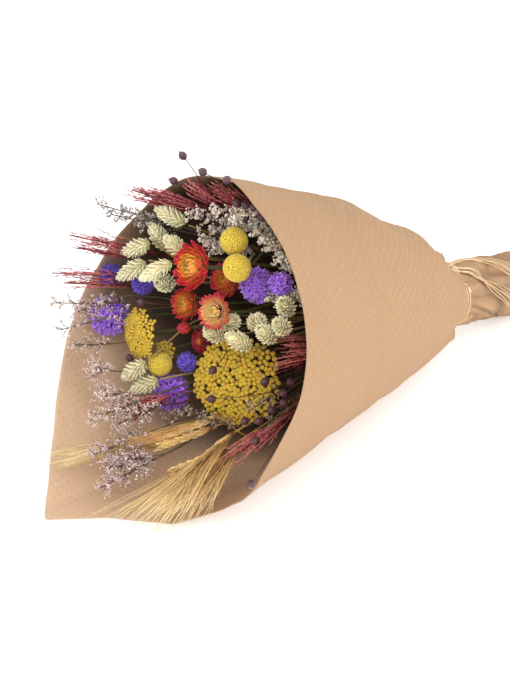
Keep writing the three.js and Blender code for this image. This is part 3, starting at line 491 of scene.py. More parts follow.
@dataclass
class BunchLayout:
    """Where every head, stem, spray and twig of the bunch goes, by the same rules as the model's solids."""

    core_radius: float = 2.4
    outer_radius: float = 3.2
    clearance: float = 0.2

    def __post_init__(self) -> None:
        """Places everything in the order in which the solids are placed."""
        self.space = FreeSpace()
        self.heads = [self.place_head(*row) for row in HEADS]
        self.sprays = self.place_sprays()
        self.stems = [h for h in self.heads if not h.branch_of]
        self.core = self.pack_discs(
            [h.foot * (18 / h.foot[2]) for h in self.stems], self.core_radius * 2 + self.clearance, 0)
        core_reach = np.abs(self.core).max() + self.core_radius
        starts = []
        for spray in self.sprays:
            m = np.mean(spray.tips, axis=0) * [1, 1, 0]
            starts.append(unit(m) * (core_reach + 4 + np.linalg.norm(m) * 0.1))
        hole = core_reach + self.outer_radius + self.clearance
        self.outer = self.pack_discs(starts, self.outer_radius * 2 + self.clearance, hole)
        self.bundle = float(np.abs(self.outer).max() + self.outer_radius)
        self.cut = Lehmer(5)
        self.route_stems()
        self.route_sprays()

    def lean(self, p: Array, share: float = 0.5) -> Array:
        """Direction in which a head at p leans: mostly along its stem, a little towards the viewer and up."""
        return unit(unit(p - [0, 0, 60]) + np.array([0.45, 0.35, 0.3]) * share)

    def place_head(self, name: str, at: tuple[float, float, float], size: float, branch_of: str = "") -> Head:
        """Places one head and takes its room; its foot is where its stem ends.

        Args:
            name: The head's name.
            at: Place in the picture, and height along the bunch.
            size: Radius of the head.
            branch_of: The head from whose stem its own branches, or nothing.

        Returns:
            The head.
        """
        centre = VIEW.seen(*at)
        head = Head(name, size, branch_of, centre, self.lean(centre, LEANS.get(name, 0.5)))
        axis, take = head.axis, self.space.take
        if head.kind is Kind.STRAWFLOWER:
            foot = centre - axis * size * 0.42
            take(foot + axis * size * 0.3, foot + axis * size * 0.5, size * 1.08, name)
        elif head.kind is Kind.YARROW:
            out = polar(size * 0.84, np.arange(16) * 22.5, 0) @ turn_to(axis).T
            for edge in out:
                take(centre, centre + edge, size * 0.17, name)
            take(centre, centre + axis * size * 0.12, size * 0.34, name)
            foot = centre - axis * (size * 0.3 + 0.5)
        else:
            foot = centre - axis * size * (0.95 if head.kind is Kind.CRASPEDIA else 1.0)
            room = {Kind.BUD: 1.05, Kind.CRASPEDIA: 1.0, Kind.STATICE: 1.02}[head.kind]
            take(centre, centre, size * room, name)
        head.foot = foot - axis * GAP
        return head

    def place_sprays(self) -> list[Spray]:
        """Places the grass heads, which take their room at once, and lists the tips of the other sprays."""
        sprays = []
        for n, rows in enumerate(CANARY):
            spray = Spray(f"canary_grass_{n + 1}", Kind.CANARY, [], n)
            for x0, y0, x1, y1, w in rows:
                foot = VIEW.seen(x0, y0, w)
                axis = unit(VIEW.seen(x1, y1, w + (10 if abs(x1 - x0) > 22 else 17)) - foot)
                self.space.take(foot + axis * 7, foot + axis * 21, 6.6, spray.node)
                self.space.take(foot, foot + axis * CANARY_LENGTH, 2.5, spray.node)
                spray.tips.append(foot)
                spray.axes.append(axis)
            sprays.append(spray)
        for n, bunch in enumerate(BARLEY):
            tips = [VIEW.seen(ear[0], ear[1], bunch.ear_foot) for ear in bunch.ears]
            sprays.append(Spray(f"barley_{n + 1}", Kind.BARLEY, tips, n))
        tables = (("flax", Kind.FLAX, FLAX), ("red_grass", Kind.RED, RED),
                  ("cream_spray", Kind.CREAM, CREAM), ("sea_lavender", Kind.LAVENDER, LAVENDER))
        for name, kind, table in tables:
            sprays += [Spray(f"{name}_{n + 1}", kind, [VIEW.seen(*tip) for tip in rows], n)
                       for n, rows in enumerate(table)]
        return sprays

    def pack_discs(self, starts: list[Array], pitch: float, hole: float) -> Array:
        """Packs discs round the origin: pulled inwards, pushed apart until none overlap.

        Args:
            starts: Where the discs start.
            pitch: Least distance between two centres.
            hole: Least distance of a centre from the origin.

        Returns:
            The centres as complex numbers.
        """
        spots = [complex(p[0], p[1]) for p in starts]
        for step in range(900):
            if step < 820:
                spots = [p * 0.985 for p in spots]
            for _ in range(3):
                for i, p in enumerate(spots):
                    if abs(p) < hole:
                        p = p / abs(p) * hole
                    for j in range(i + 1, len(spots)):
                        apart = spots[j] - p
                        short = pitch - abs(apart)
                        if short > 0:
                            push = apart / abs(apart) * (short / 2 + 0.001)
                            p -= push
                            spots[j] += push
                    spots[i] = p
        return np.array(spots)

    @staticmethod
    def at(spot: complex, w: float) -> Array:
        """The point of a packed spot at height w."""
        return np.array([spot.real, spot.imag, w])

    def route_stems(self) -> None:
        """Leads the stem of every single head from its spot in the bundle, or from its parent's bend."""
        take = self.space.take
        for spot in self.core:
            take(self.at(spot, 0), self.at(spot, FAN_START), self.core_radius - 0.3, "flower_stems")
        for spot, spray in zip(self.outer, self.sprays):
            take(self.at(spot, 0), self.at(spot, FAN_START), self.outer_radius - 0.3, spray.node)
        bends: dict[str, Array] = {}
        for i, head in enumerate(self.stems + [h for h in self.heads if h.branch_of]):
            spot = None if head.branch_of else self.at(self.core[i], FAN_START)
            start = bends[head.branch_of] if spot is None else mix(spot, head.foot, 0.2)
            radius = head.stalk
            last = head.foot - head.axis * (radius + 5)
            path = self.space.route(start, last, radius, "flower_stems", 60, head.name)
            bends[head.name] = path[1]
            self.space.take_way(path, radius, "flower_stems")
            if spot is None:
                head.stem = [start, path[1], last, head.foot]
                continue
            take(spot, start, self.core_radius, "flower_stems")
            low = self.at(self.core[i], CUT_END - 3 * self.cut())
            head.stem = [low, spot, path[1], last, head.foot]

    def route_sprays(self) -> None:
        """Leads every spray's stem to its fork and a twig from there to each tip."""
        space = self.space
        for n, spray in enumerate(self.sprays):
            random = Lehmer(n + 11)
            room = ROOMS[spray.kind]
            twig = room.twig
            neck = self.at(self.outer[n], FAN_START)
            middle = np.mean(spray.tips, axis=0)
            for share in (0.45, 0.38, 0.52, 0.3, 0.24, 0.18):
                trunk = space.route(neck, mix(neck, middle, share), twig + 0.8, spray.node, 60)
                if trunk:
                    break
            space.take_way(trunk, twig + 0.8, spray.node)
            root = trunk[2] + unit(trunk[1] - trunk[2]) * 5
            spray.trunk = [self.at(self.outer[n], CUT_END - 3 * self.cut()), *trunk]
            for i, tip in enumerate(spray.tips):
                last = tip - spray.axes[i] * 3 if spray.axes else tip
                path = space.route(root, last, twig, spray.node, 40)
                if path is None:
                    log.warning("no way to tip %d of %s", i + 1, spray.node)
                    continue
                space.take_way(path, twig, spray.node)
                space.take(tip, tip, room.tip, spray.node)
                spray.twigs.append(path)
                self.grow(spray, i, path, random)

    def grow(self, spray: Spray, i: int, path: Path, random: Lehmer) -> None:
        """Takes the room of what a twig carries, as the solids do.

        Args:
            spray: The spray.
            i: Number of the tip.
            path: The twig's start, bend and end.
            random: The spray's row of random numbers.
        """
        space, (_, bend, tip) = self.space, path
        if ROOMS[spray.kind].florets:
            size, on = ROOMS[spray.kind].florets, mix(bend, tip, 0.36)
            room = 1.0 if space.is_free(on, tip, size + 1.8, spray.node) else 0.1
            for _ in range(13):
                random()
            space.take(on, tip, size * (0.55 + 0.45 * room) + 1.8 * room, spray.node)
        elif spray.kind is Kind.RED:
            side = polar(1, 360 * random(), 0.2)
            root, end = mix(bend, tip, 0.05), mix(bend, tip, 0.75) + side * (8 if i % 2 else -8)
            if space.is_free(root, end, 1.3, spray.node):
                space.take(root, end, 1.3, spray.node)
        elif spray.kind is Kind.BARLEY:
            bunch = BARLEY[spray.number]
            end = VIEW.seen(*bunch.ears[i][2:], bunch.ear_end)
            space.take(tip, end, 3.4, spray.node)
            for k in range(5):
                root = mix(tip, end, 0.25 + 0.14 * k)
                x = bunch.awns[0] + (random() - 0.5) * 56
                y = bunch.awns[1] + (random() - 0.5) * 26
                point = mix(root, VIEW.seen(x, y, bunch.awn_end), 0.82 + 0.18 * random())
                if space.is_free(root, point, 0.9, spray.node):
                    space.take(root, point, 0.9, spray.node)


def turn_to(axis: Array) -> Array:
    """Shortest turn from z to an axis: I + K + K K / (1 + z), K being the matrix of their cross product."""
    x, y, z = axis
    cross = np.array([[0, 0, x], [0, 0, y], [-x, -y, 0]])
    return np.eye(3) + cross + cross @ cross / (1 + z)


# ---- skins
@dataclass(frozen=True)
class Shape:
    """A small closed form that is repeated: it runs along x from its root at 0 to its tip at 1."""

    points: Array
    faces: Array
    along: Array
    edge: Array


def ring_faces(rings: int, sides: int) -> Array:
    """Triangles of a closed skin: a pole, then rings of points, then a second pole.

    Args:
        rings: How many rings.
        sides: Points of a ring.

    Returns:
        Point numbers, (k, 3).
    """
    k = np.arange(sides)
    after = (k + 1) % sides
    low = 1 + np.arange(rings - 1)[:, None] * sides
    a, b, c, d = low + k, low + after, low + sides + after, low + sides + k
    walls = np.concatenate([np.stack([a, b, c], -1).reshape(-1, 3), np.stack([a, c, d], -1).reshape(-1, 3)])
    top, pole = 1 + (rings - 1) * sides, 1 + rings * sides
    first = np.stack([np.zeros_like(k), 1 + after, 1 + k], -1)
    last = np.stack([np.full_like(k, pole), top + k, top + after], -1)
    return np.concatenate([first, walls, last])


def closed_form(rings: Array, along: Array, edge: Array) -> Shape:
    """Closed form through rings of points (n, sides, 3), each end ring drawn to its middle.

    Args:
        rings: Points, ring by ring.
        along: Share of the way from root to tip of each ring.
        edge: For each point of a ring, 0 on the middle line and 1 on the edge.

    Returns:
        The form, with its faces turned outwards.
    """
    n, sides = rings.shape[:2]
    points = np.vstack([rings[:1].mean(1), rings[1:-1].reshape(-1, 3), rings[-1:].mean(1)])
    faces = ring_faces(n - 2, sides)
    a, b, c = points[faces].transpose(1, 0, 2)
    if (a * np.cross(b, c)).sum() < 0:
        faces = faces[:, ::-1]
    spread = np.concatenate([along[:1], np.repeat(along[1:-1], sides), along[-1:]])
    margin = np.concatenate([[0.0], np.tile(edge, n - 2), [1.0]])
    return Shape(points, faces, spread, margin)


def bract(width: float, widest: float = 0.5, cup: float = 0.3, curl: float = 0.4, thick: float = 0.06,
          stations: int = 6, halves: int = 4) -> Shape:
    """Thin pointed leaf of length 1.

    Its half-width is a sine of a power of the way along. Across, it rises towards its edges by the cup and
    is as thick as one minus the square of the way across. Along, it is an arc of the angle curl.

    Args:
        width: Greatest width.
        widest: Where the greatest width is.
        cup: Rise of the edges.
        curl: Angle of the arc in radians, upwards.
        thick: Greatest thickness.
        stations: Points along the blade.
        halves: Steps across the upper side.

    Returns:
        The form.
    """
    s = np.linspace(0, 1, stations)
    half = width / 2 * np.sin(np.pi * s ** (math.log(0.5) / math.log(widest))) ** 0.9
    half[[0, -1]] = 0
    t = np.linspace(-1, 1, halves + 1)
    across = np.concatenate([t, t[-2:0:-1]])
    face = np.concatenate([np.ones(halves + 1), -np.ones(halves - 1)])
    bend = curl if abs(curl) > 1e-3 else 1e-3
    turn = bend * s
    line = np.stack([np.sin(turn) / bend, 0 * s, (1 - np.cos(turn)) / bend], -1)
    normal = np.stack([-np.sin(turn), 0 * s, np.cos(turn)], -1)
    lift = cup * half[:, None] * across**2 + face * thick / 2 * (1 - across**2) * (half[:, None] > 0)
    rings = line[:, None] + normal[:, None] * lift[..., None]
    rings[..., 1] += half[:, None] * across
    return closed_form(rings, s, np.abs(across))


def turned(profile: list[tuple[float, float]], sides: int, lobes: int = 0, depth: float = 0.0,
           ruffle: float = 0.0) -> Shape:
    """Form turned round x from a profile of (x, radius) that starts and ends on x.

    Args:
        profile: The profile, from root to tip, and back inside for a cup.
        sides: Points round it.
        lobes: How many lobes its outline has: the radius swings with the cosine of that many turns.
        depth: Depth of the lobes, as a share of the radius.
        ruffle: How far the lobes of the widest part bend forwards.

    Returns:
        The form.
    """
    x, r = np.array(profile).T
    angle = np.arange(sides) * 2 * np.pi / sides
    wave = np.cos(lobes * angle)
    radius = r[:, None] * (1 + depth * wave)
    ahead = x[:, None] + ruffle * wave * (r[:, None] / r.max()) ** 2
    rings = np.stack([ahead, radius * np.cos(angle), radius * np.sin(angle)], -1)
    return closed_form(rings, x, np.zeros(sides))


def ball(radius: float, rings: int, sides: int) -> Shape:
    """Ball round the root: a half circle of so many points, turned."""
    angles = np.linspace(0, math.pi, rings)
    return turned([(-radius * math.cos(a), radius * math.sin(a)) for a in angles], sides)


def frames(out: Array, up: Array | tuple[float, float, float]) -> Array:
    """Turns, as (..., 3, 3) matrices, that lead x along out and z towards up; y is square to both."""
    x = unit(np.asarray(out, float))
    y = unit(np.cross(np.broadcast_to(up, x.shape), x))
    return np.stack([x, y, np.cross(x, y)], -1)


UPRIGHT = frames(UP[None], (1, 0, 0))


def raised(phi: Array, rise: Array | float) -> tuple[Array, Array, Array]:
    """Directions outwards at turns round the stem, raised from there by an angle, and square to that."""
    out = polar(1, phi, 0)
    return out, out * np.cos(rise) + UP * np.sin(rise), UP * np.cos(rise) - out * np.sin(rise)


def sized(length: float, width: Array) -> Array:
    """Scales (k, 3) of copies of one length and several widths."""
    return np.stack([np.full(len(width), length), width, width], -1)


def ramp(share: Array, stops: Stops) -> Array:
    """Linear colours at shares of a row of (place, screen colour) stops, by straight lines between them."""
    at = [s for s, _ in stops]
    colours = np.array([linear(c) for _, c in stops])
    return np.stack([np.interp(share, at, colours[:, i]) for i in range(3)], -1)


def globe(count: int, top: float = 1.0, bottom: float = -1.0) -> Array:
    """Directions spread evenly over a ball between two heights, each a golden angle on from the last.

    Args:
        count: How many.
        top, bottom: The heights, of a ball of radius 1.

    Returns:
        The directions, (count, 3).
    """
    height = top + (bottom - top) * (np.arange(count) + 0.5) / count
    turn = np.arange(count) * GOLDEN_TURN
    ring = np.sqrt(np.maximum(0, 1 - height**2))
    return np.stack([ring * np.cos(turn), ring * np.sin(turn), height], -1)


def soften(path: Path | Array, per: int = 5) -> Array:
    """Smooth curve through the points of a path.

    Each stretch is a cubic between its two points. The direction at a point is midway between those of its
    two stretches, and as strong as the shorter one is long, so a long straight stretch stays straight.

    Args:
        path: Points of the path.
        per: Steps in each stretch.

    Returns:
        Points of the curve.
    """
    p = np.array(path)
    d = np.diff(p, axis=0)
    length = np.linalg.norm(d, axis=1, keepdims=True)
    inner = unit(unit(d[:-1]) + unit(d[1:])) * np.minimum(length[:-1], length[1:])
    m = np.vstack([d[:1], inner, d[-1:]])
    t = (np.arange(per) / per)[None, :, None]
    a, b, ma, mb = p[:-1, None], p[1:, None], m[:-1, None], m[1:, None]
    curve = ((2 * t**3 - 3 * t**2 + 1) * a + (t**3 - 2 * t**2 + t) * ma
             + (3 * t**2 - 2 * t**3) * b + (t**3 - t**2) * mb)
    return np.vstack([curve.reshape(-1, p.shape[1]), p[-1:]])


class Skin:
    """Points, triangles and tints gathered for one piece."""

    def __init__(self, seed: int = 1) -> None:
        """Starts empty, with its own row of random numbers."""
        self.rng = np.random.default_rng(seed)
        self.points: list[Array] = []
        self.faces: list[Array] = []
        self.tints: list[Array] = []
        self.count = 0

    def add(self, points: Array, faces: Array, tints: Array) -> None:
        """Adds points with their triangles and linear colours.

        Args:
            points: The points, (..., 3).
            faces: Their numbers, three to a triangle.
            tints: One colour, or one for each point.
        """
        self.points.append(points.reshape(-1, 3))
        self.faces.append(faces.reshape(-1, 3) + self.count)
        self.tints.append(np.broadcast_to(tints, points.shape).reshape(-1, 3))
        self.count += points.size // 3

    def vary(self, tints: Array, amount: float) -> Array:
        """Makes every copy's tint (k, points, 3) a little lighter or darker, warmer or cooler."""
        k = len(tints)
        light = 1 + amount * self.rng.uniform(-1, 1, (k, 1, 1))
        return tints * light * (1 + amount * 0.35 * self.rng.uniform(-1, 1, (k, 1, 3)))

    def scatter(self, shape: Shape, roots: Array, turns: Array, scales: Array | float, stops: Stops,
                vary: float = 0.12, shade: float = 0.0) -> None:
        """Repeats a shape.

        Args:
            shape: What is repeated.
            roots: Where each copy starts, (..., 3).
            turns: The turn of each copy, (..., 3, 3).
            scales: Size of each copy, (k,) or (k, 3), or one number.
            stops: Colours along the shape.
            vary: How much the copies differ in lightness and warmth.
            shade: How much darker the middle line is than the edge.
        """
        roots, turns = roots.reshape(-1, 3), turns.reshape(-1, 3, 3)
        k, size = len(roots), np.asarray(scales, float)
        size = np.broadcast_to(size.reshape(-1, 1) if size.ndim < 2 else size, (k, 3))
        points = np.einsum("kij,kvj->kvi", turns, shape.points[None] * size[:, None]) + roots[:, None]
        faces = shape.faces[None] + (np.arange(k) * len(shape.points))[:, None, None]
        tint = ramp(shape.along, stops) * (1 - shade * (1 - shape.edge))[:, None]
        self.add(points, faces, self.vary(np.broadcast_to(tint, points.shape), vary))

    def tubes(self, paths: Array, radii: Array, sides: int, stops: Stops, vary: float = 0.12) -> None:
        """Round stalks along paths.

        Every ring lies square to the path, turned by one direction square to the stalk. The ends are flat.

        Args:
            paths: Points of each stalk, (k, n, 3), or one stalk (n, 3).
            radii: Radius at each point, (n,) or (k, n).
            sides: Points round a ring.
            stops: Colours from root to tip.
            vary: How much the stalks differ.
        """
        paths = paths[None] if paths.ndim == 2 else paths
        k, n, _ = paths.shape
        along = unit(np.gradient(paths, axis=1))
        chord = unit(paths[:, -1] - paths[:, 0])
        side = unit(np.cross(chord, [0.31, 0.87, 0.38]))[:, None]
        u = unit(side - along * (side * along).sum(-1, keepdims=True))
        v = np.cross(along, u)
        angle = (np.arange(sides) * 2 * np.pi / sides)[:, None]
        r = np.broadcast_to(radii, (k, n))[..., None, None]
        rings = paths[:, :, None] + r * (np.cos(angle) * u[:, :, None] + np.sin(angle) * v[:, :, None])
        points = np.concatenate([paths[:, :1], rings.reshape(k, n * sides, 3), paths[:, -1:]], axis=1)
        faces = ring_faces(n, sides)[None] + (np.arange(k) * points.shape[1])[:, None, None]
        share = np.concatenate([[0], np.repeat(np.linspace(0, 1, n), sides), [1]])
        self.add(points, faces, self.vary(np.broadcast_to(ramp(share, stops), points.shape), vary))

    def moved(self, turn: Array, base: Array) -> "Skin":
        """Turns and moves everything gathered so far."""
        self.points = [p @ turn.T + base for p in self.points]
        return self


# ---- materials
FLOAT, COLOUR, VECTOR = "NodeSocketFloat", "NodeSocketColor", "NodeSocketVector"
Inputs = dict[str | int, object]
Socket = bpy.types.NodeSocket


class Wires:
    """A node tree and short ways to add nodes to it and join them."""

    def __init__(self, tree: bpy.types.NodeTree) -> None:
        """Works on one node tree."""
        self.tree = tree

    def add(self, kind: str, inputs: Inputs | None = None, **settings: object) -> bpy.types.Node:
        """Adds a node, sets it up and fills its inputs.

        Args:
            kind: The node's type.
            inputs: For each input, a value, or the output that it is joined to.
            settings: The node's own settings.

        Returns:
            The node.
        """
        node = self.tree.nodes.new(kind)
        for name, value in settings.items():
            setattr(node, name, value)
        for name, value in (inputs or {}).items():
            if isinstance(value, Socket):
                self.tree.links.new(value, node.inputs[name])
            else:
                node.inputs[name].default_value = value
        return node

    def maths(self, operation: str, *values: object) -> Socket:
        """The result of one sum on numbers or outputs."""
        return self.add("ShaderNodeMath", dict(enumerate(values)), operation=operation).outputs[0]

    def noise(self, place: object, scale: object, detail: float, bent: float = 0.0) -> Socket:
        """A soft noise over a place."""
        inputs = {"Vector": place, "Scale": scale, "Detail": detail, "Distortion": bent}
        return self.add("ShaderNodeTexNoise", inputs).outputs[0]

    def stored(self, name: str, output: str = "Fac") -> Socket:
        """A value or a colour stored in the piece's points."""
        return self.add("ShaderNodeAttribute", attribute_name=name).outputs[output]

    def effect(self, tree: bpy.types.NodeTree, **inputs: object) -> bpy.types.NodeOutputs:
        """The outputs of a shared effect with its own inputs."""
        return self.add("ShaderNodeGroup", inputs, node_tree=tree).outputs


def new_group(name: str, inputs: dict[str, str],
              outputs: dict[str, str]) -> tuple[Wires, bpy.types.NodeOutputs]:
    """An empty node group with named sockets.

    Args:
        name: The group's name.
        inputs, outputs: The socket type of each input and output.

    Returns:
        The group's wires, and what is given to it.
    """
    tree = bpy.data.node_groups.new(name, "ShaderNodeTree")
    for way, sockets in (("INPUT", inputs), ("OUTPUT", outputs)):
        for label, kind in sockets.items():
            tree.interface.new_socket(name=label, in_out=way, socket_type=kind)
    w = Wires(tree)
    return w, w.add("NodeGroupInput").outputs


class SharedEffects:
    """Node groups that several materials use, each built once, when a material first asks for it."""

    @cached_property
    def mottle(self) -> bpy.types.NodeTree:
        """Colour that is lighter and darker in soft patches, with finer specks."""
        w, given = new_group("mottle", {"Vector": VECTOR, "Tint": COLOUR, "Scale": FLOAT, "Amount": FLOAT},
                             {"Colour": COLOUR})
        broad = w.noise(given["Vector"], given["Scale"], 3.0)
        speck = w.noise(given["Vector"], w.maths("MULTIPLY", given["Scale"], 4.7), 2.0)
        both = w.maths("ADD", broad, w.maths("MULTIPLY", speck, 0.6))
        swing = w.maths("MULTIPLY", w.maths("SUBTRACT", both, 0.8), given["Amount"])
        value = w.maths("ADD", w.maths("MULTIPLY", swing, 2.4), 1.0)
        colour = w.add("ShaderNodeHueSaturation", {"Color": given["Tint"], "Value": value})
        w.add("NodeGroupOutput", {"Colour": colour.outputs[0]})
        return w.tree

    @cached_property
    def grain(self) -> bpy.types.NodeTree:
        """Fine dry relief: wrinkles and small pits."""
        w, given = new_group("dry_grain", {"Vector": VECTOR, "Scale": FLOAT}, {"Height": FLOAT})
        wrinkle = w.noise(given["Vector"], given["Scale"], 4.0, 0.6)
        pits = w.add("ShaderNodeTexVoronoi", {"Vector": given["Vector"],
                                              "Scale": w.maths("MULTIPLY", given["Scale"], 0.8)})
        height = w.maths("ADD", wrinkle, w.maths("MULTIPLY", pits.outputs["Distance"], 0.35))
        w.add("NodeGroupOutput", {"Height": height})
        return w.tree

    @cached_property
    def emboss(self) -> bpy.types.NodeTree:
        """Diamond cells pressed into paper, from two sine waves that cross: pits, and lines between them."""
        w, given = new_group("embossed_diamonds", {"Vector": VECTOR, "Cells": FLOAT},
                             {"Height": FLOAT, "Dots": FLOAT, "Lines": FLOAT})
        flat = w.add("ShaderNodeSeparateXYZ", {0: given["Vector"]}).outputs
        turn = w.maths("MULTIPLY", given["Cells"], math.pi)
        slants = (w.maths("MULTIPLY", w.maths(way, flat[0], flat[1]), turn) for way in ("ADD", "SUBTRACT"))
        a, b = (w.maths("ABSOLUTE", w.maths("SINE", slant)) for slant in slants)
        cell = w.maths("MULTIPLY", a, b)
        near = w.maths("MULTIPLY", w.maths("MINIMUM", a, b), 3.2)
        lines = w.maths("MAXIMUM", w.maths("SUBTRACT", 1.0, near), 0.0)
        height = w.maths("SUBTRACT", w.maths("MULTIPLY", cell, 0.6), lines)
        w.add("NodeGroupOutput", {"Height": height, "Dots": w.maths("POWER", cell, 14.0), "Lines": lines})
        return w.tree


EFFECTS = SharedEffects()


def new_material(name: str) -> tuple[bpy.types.Material, Wires]:
    """An empty material and its wires."""
    material = bpy.data.materials.new(name)
    material.use_nodes = True
    material.node_tree.nodes.clear()
    return material, Wires(material.node_tree)


@dataclass(frozen=True)
class DryFinish:
    """Finish of a dried plant or fibre whose colours lie in the piece's tint."""

    name: str
    roughness: float = 0.7
    scale: float = 220.0
    mottle: float = 0.16
    grain_scale: float = 900.0
    grain: float = 0.25
    sheen: float = 0.0
    coat: float = 0.0
    thin: float = 0.0
    specular: float = 0.25

    def make(self) -> bpy.types.Material:
        """Builds the material."""
        material, w = new_material(self.name)
        place = w.add("ShaderNodeTexCoord").outputs["Object"]
        colour = w.effect(EFFECTS.mottle, Vector=place, Tint=w.stored("tint", "Color"),
                          Scale=self.scale, Amount=self.mottle)
        relief = w.effect(EFFECTS.grain, Vector=place, Scale=self.grain_scale)
        bump = w.add("ShaderNodeBump", {"Height": relief[0], "Strength": self.grain, "Distance": 0.0006})
        shader = w.add("ShaderNodeBsdfPrincipled", {
            "Base Color": colour["Colour"], "Roughness": self.roughness, "Normal": bump.outputs[0],
            "Sheen Weight": self.sheen, "Coat Weight": self.coat, "Coat Roughness": 0.35,
            "Subsurface Weight": self.thin, "Subsurface Scale": 0.002, "Specular IOR Level": self.specular,
        })
        w.add("ShaderNodeOutputMaterial", {"Surface": shader.outputs[0]})
        return material


@dataclass(frozen=True)
class KraftFinish:
    """Matte brown paper, embossed all over with small diamonds, with painted shade in their pits and painted
    highlights on the lines between.
    """

    name: str
    colour: int
    warm: int
    depth: float
    outer_pit_shade: float
    inner_pit_shade: float
    # Strength of the painted highlight along the raised lines between the pits.
    lines: float = 0.42
    cell_mm: float = 9.5

    def make(self) -> bpy.types.Material:
        """Builds the material; the cells follow the flat sheet through the piece's UV map."""
        material, w = new_material(self.name)
        sheet = w.add("ShaderNodeUVMap", uv_map="sheet").outputs[0]
        place = w.add("ShaderNodeTexCoord").outputs["Object"]
        cells = w.effect(EFFECTS.emboss, Vector=sheet, Cells=1000 / self.cell_mm)
        cloud = w.noise(place, 7.0, 5.0)
        paper = w.add("ShaderNodeMix", {0: cloud, 6: (*linear(self.colour), 1), 7: (*linear(self.warm), 1)},
                      data_type="RGBA").outputs[2]
        # Each face's own colour from the tint; on the inner face it is darkened deep in the cone, painted
        # shade.
        face_colour_and_painted_shade = w.add("ShaderNodeMix", {0: 1.0, 6: paper, 7: w.stored("tint", "Color")}, data_type="RGBA",
                        blend_type="MULTIPLY").outputs[2]
        colour = w.effect(EFFECTS.mottle, Vector=place, Tint=face_colour_and_painted_shade, Scale=330.0, Amount=0.09)
        # Painted shade: the colour darkens at the bottom of each pressed pit, more on the inner face than the
        # outer.
        more_inside = w.maths("MULTIPLY", w.stored("inside"), self.inner_pit_shade - self.outer_pit_shade)
        amount = w.maths("ADD", self.outer_pit_shade, more_inside)
        crisp = w.stored("crisp")
        pits = w.maths("SUBTRACT", 1.0, w.maths("MULTIPLY", cells["Dots"], amount))
        # Painted highlight: the colour lightens along the raised lines between the pits, as far as the
        # quilting is crisp.
        lit = w.maths("MULTIPLY", w.maths("MULTIPLY", cells["Lines"], crisp), self.lines)
        pit_shade_and_ridge_highlight = w.add("ShaderNodeHueSaturation", {"Color": colour[0], "Value": w.maths("ADD", pits, lit)})
        pressed = w.maths("MULTIPLY", w.maths("MULTIPLY", cells["Height"], -self.depth), crisp)
        height = w.maths("ADD", pressed, w.maths("MULTIPLY", w.noise(place, 420.0, 4.0), 0.6))
        bump = w.add("ShaderNodeBump", {"Height": height, "Strength": 0.75, "Distance": 0.001})
        shader = w.add("ShaderNodeBsdfPrincipled", {
            "Base Color": pit_shade_and_ridge_highlight.outputs[0], "Roughness": 0.82, "Normal": bump.outputs[0],
            "Specular IOR Level": 0.2})
        w.add("ShaderNodeOutputMaterial", {"Surface": shader.outputs[0]})
        return material


# ---- pieces
class Slot(Enum):
    """The record's material slots."""

    KRAFT = "kraft_paper"
    SLEEVE = "sleeve_paper"
    RAFFIA = "raffia"
    STEM = "stem"
    CRIMSON = "crimson_bracts"
    ORANGE = "orange_bracts"
    DISC = "strawflower_disc"
    CRASPEDIA = "craspedia"
    YARROW = "yarrow"
    STATICE = "statice"
    DARK_STATICE = "dark_statice"
    CANARY = "canary_grass"
    BARLEY = "barley"
    FLAX = "flax"
    RED = "red_grass"
    CREAM = "cream_spray"
    LAVENDER = "sea_lavender"


FINISHES = {
    Slot.KRAFT: KraftFinish("embossed_kraft", 0xF4F0EC, 0xFFFFFF, 0.6, 0.05, 0.16),
    Slot.SLEEVE: DryFinish("crumpled_kraft", 0.85, 60, 0.08, 500, 0.3),
    Slot.RAFFIA: DryFinish("dry_raffia", 0.6, 300, 0.15, 1200, 0.3),
    Slot.STEM: DryFinish("dry_stalk", 0.75, 150, 0.25, 700, 0.35),
    Slot.CRIMSON: DryFinish("papery_crimson", 0.36, 260, 0.10, 900, 0.12, 0.0, 0.25, 0.12),
    Slot.ORANGE: DryFinish("papery_orange", 0.36, 260, 0.10, 900, 0.12, 0.0, 0.25, 0.12),
    Slot.DISC: DryFinish("floret_disc", 0.8, 500, 0.2),
    Slot.CRASPEDIA: DryFinish("yellow_florets", 0.85, 300, 0.12, 1500, 0.3, 0.3),
    Slot.YARROW: DryFinish("golden_beads", 0.85, 320, 0.16, 1500, 0.35, 0.2),
    Slot.STATICE: DryFinish("violet_calyx", 0.7, 240, 0.14, 900, 0.25, 0.2, 0.0, 0.05),
    Slot.DARK_STATICE: DryFinish("deep_violet_calyx", 0.7, 240, 0.14, 900, 0.25, 0.2, 0.0, 0.05),
    Slot.CANARY: DryFinish("pale_scales", 0.75, 240, 0.12, 900, 0.25, 0.2, thin=0.08),
    Slot.BARLEY: DryFinish("gold_straw", 0.45, 180, 0.12, 1200, 0.2, 0.0, 0.1),
    Slot.FLAX: DryFinish("glossy_pod", 0.34, 260, 0.20, 700, 0.15, 0.0, 0.25),
    Slot.RED: DryFinish("red_straw", 0.7, 220, 0.15, 900, 0.25),
    Slot.CREAM: DryFinish("cream_florets", 0.8, 300, 0.12, 1200, 0.25, 0.2),
    Slot.LAVENDER: DryFinish("lilac_florets", 0.8, 300, 0.14, 1200, 0.25, 0.2),
}


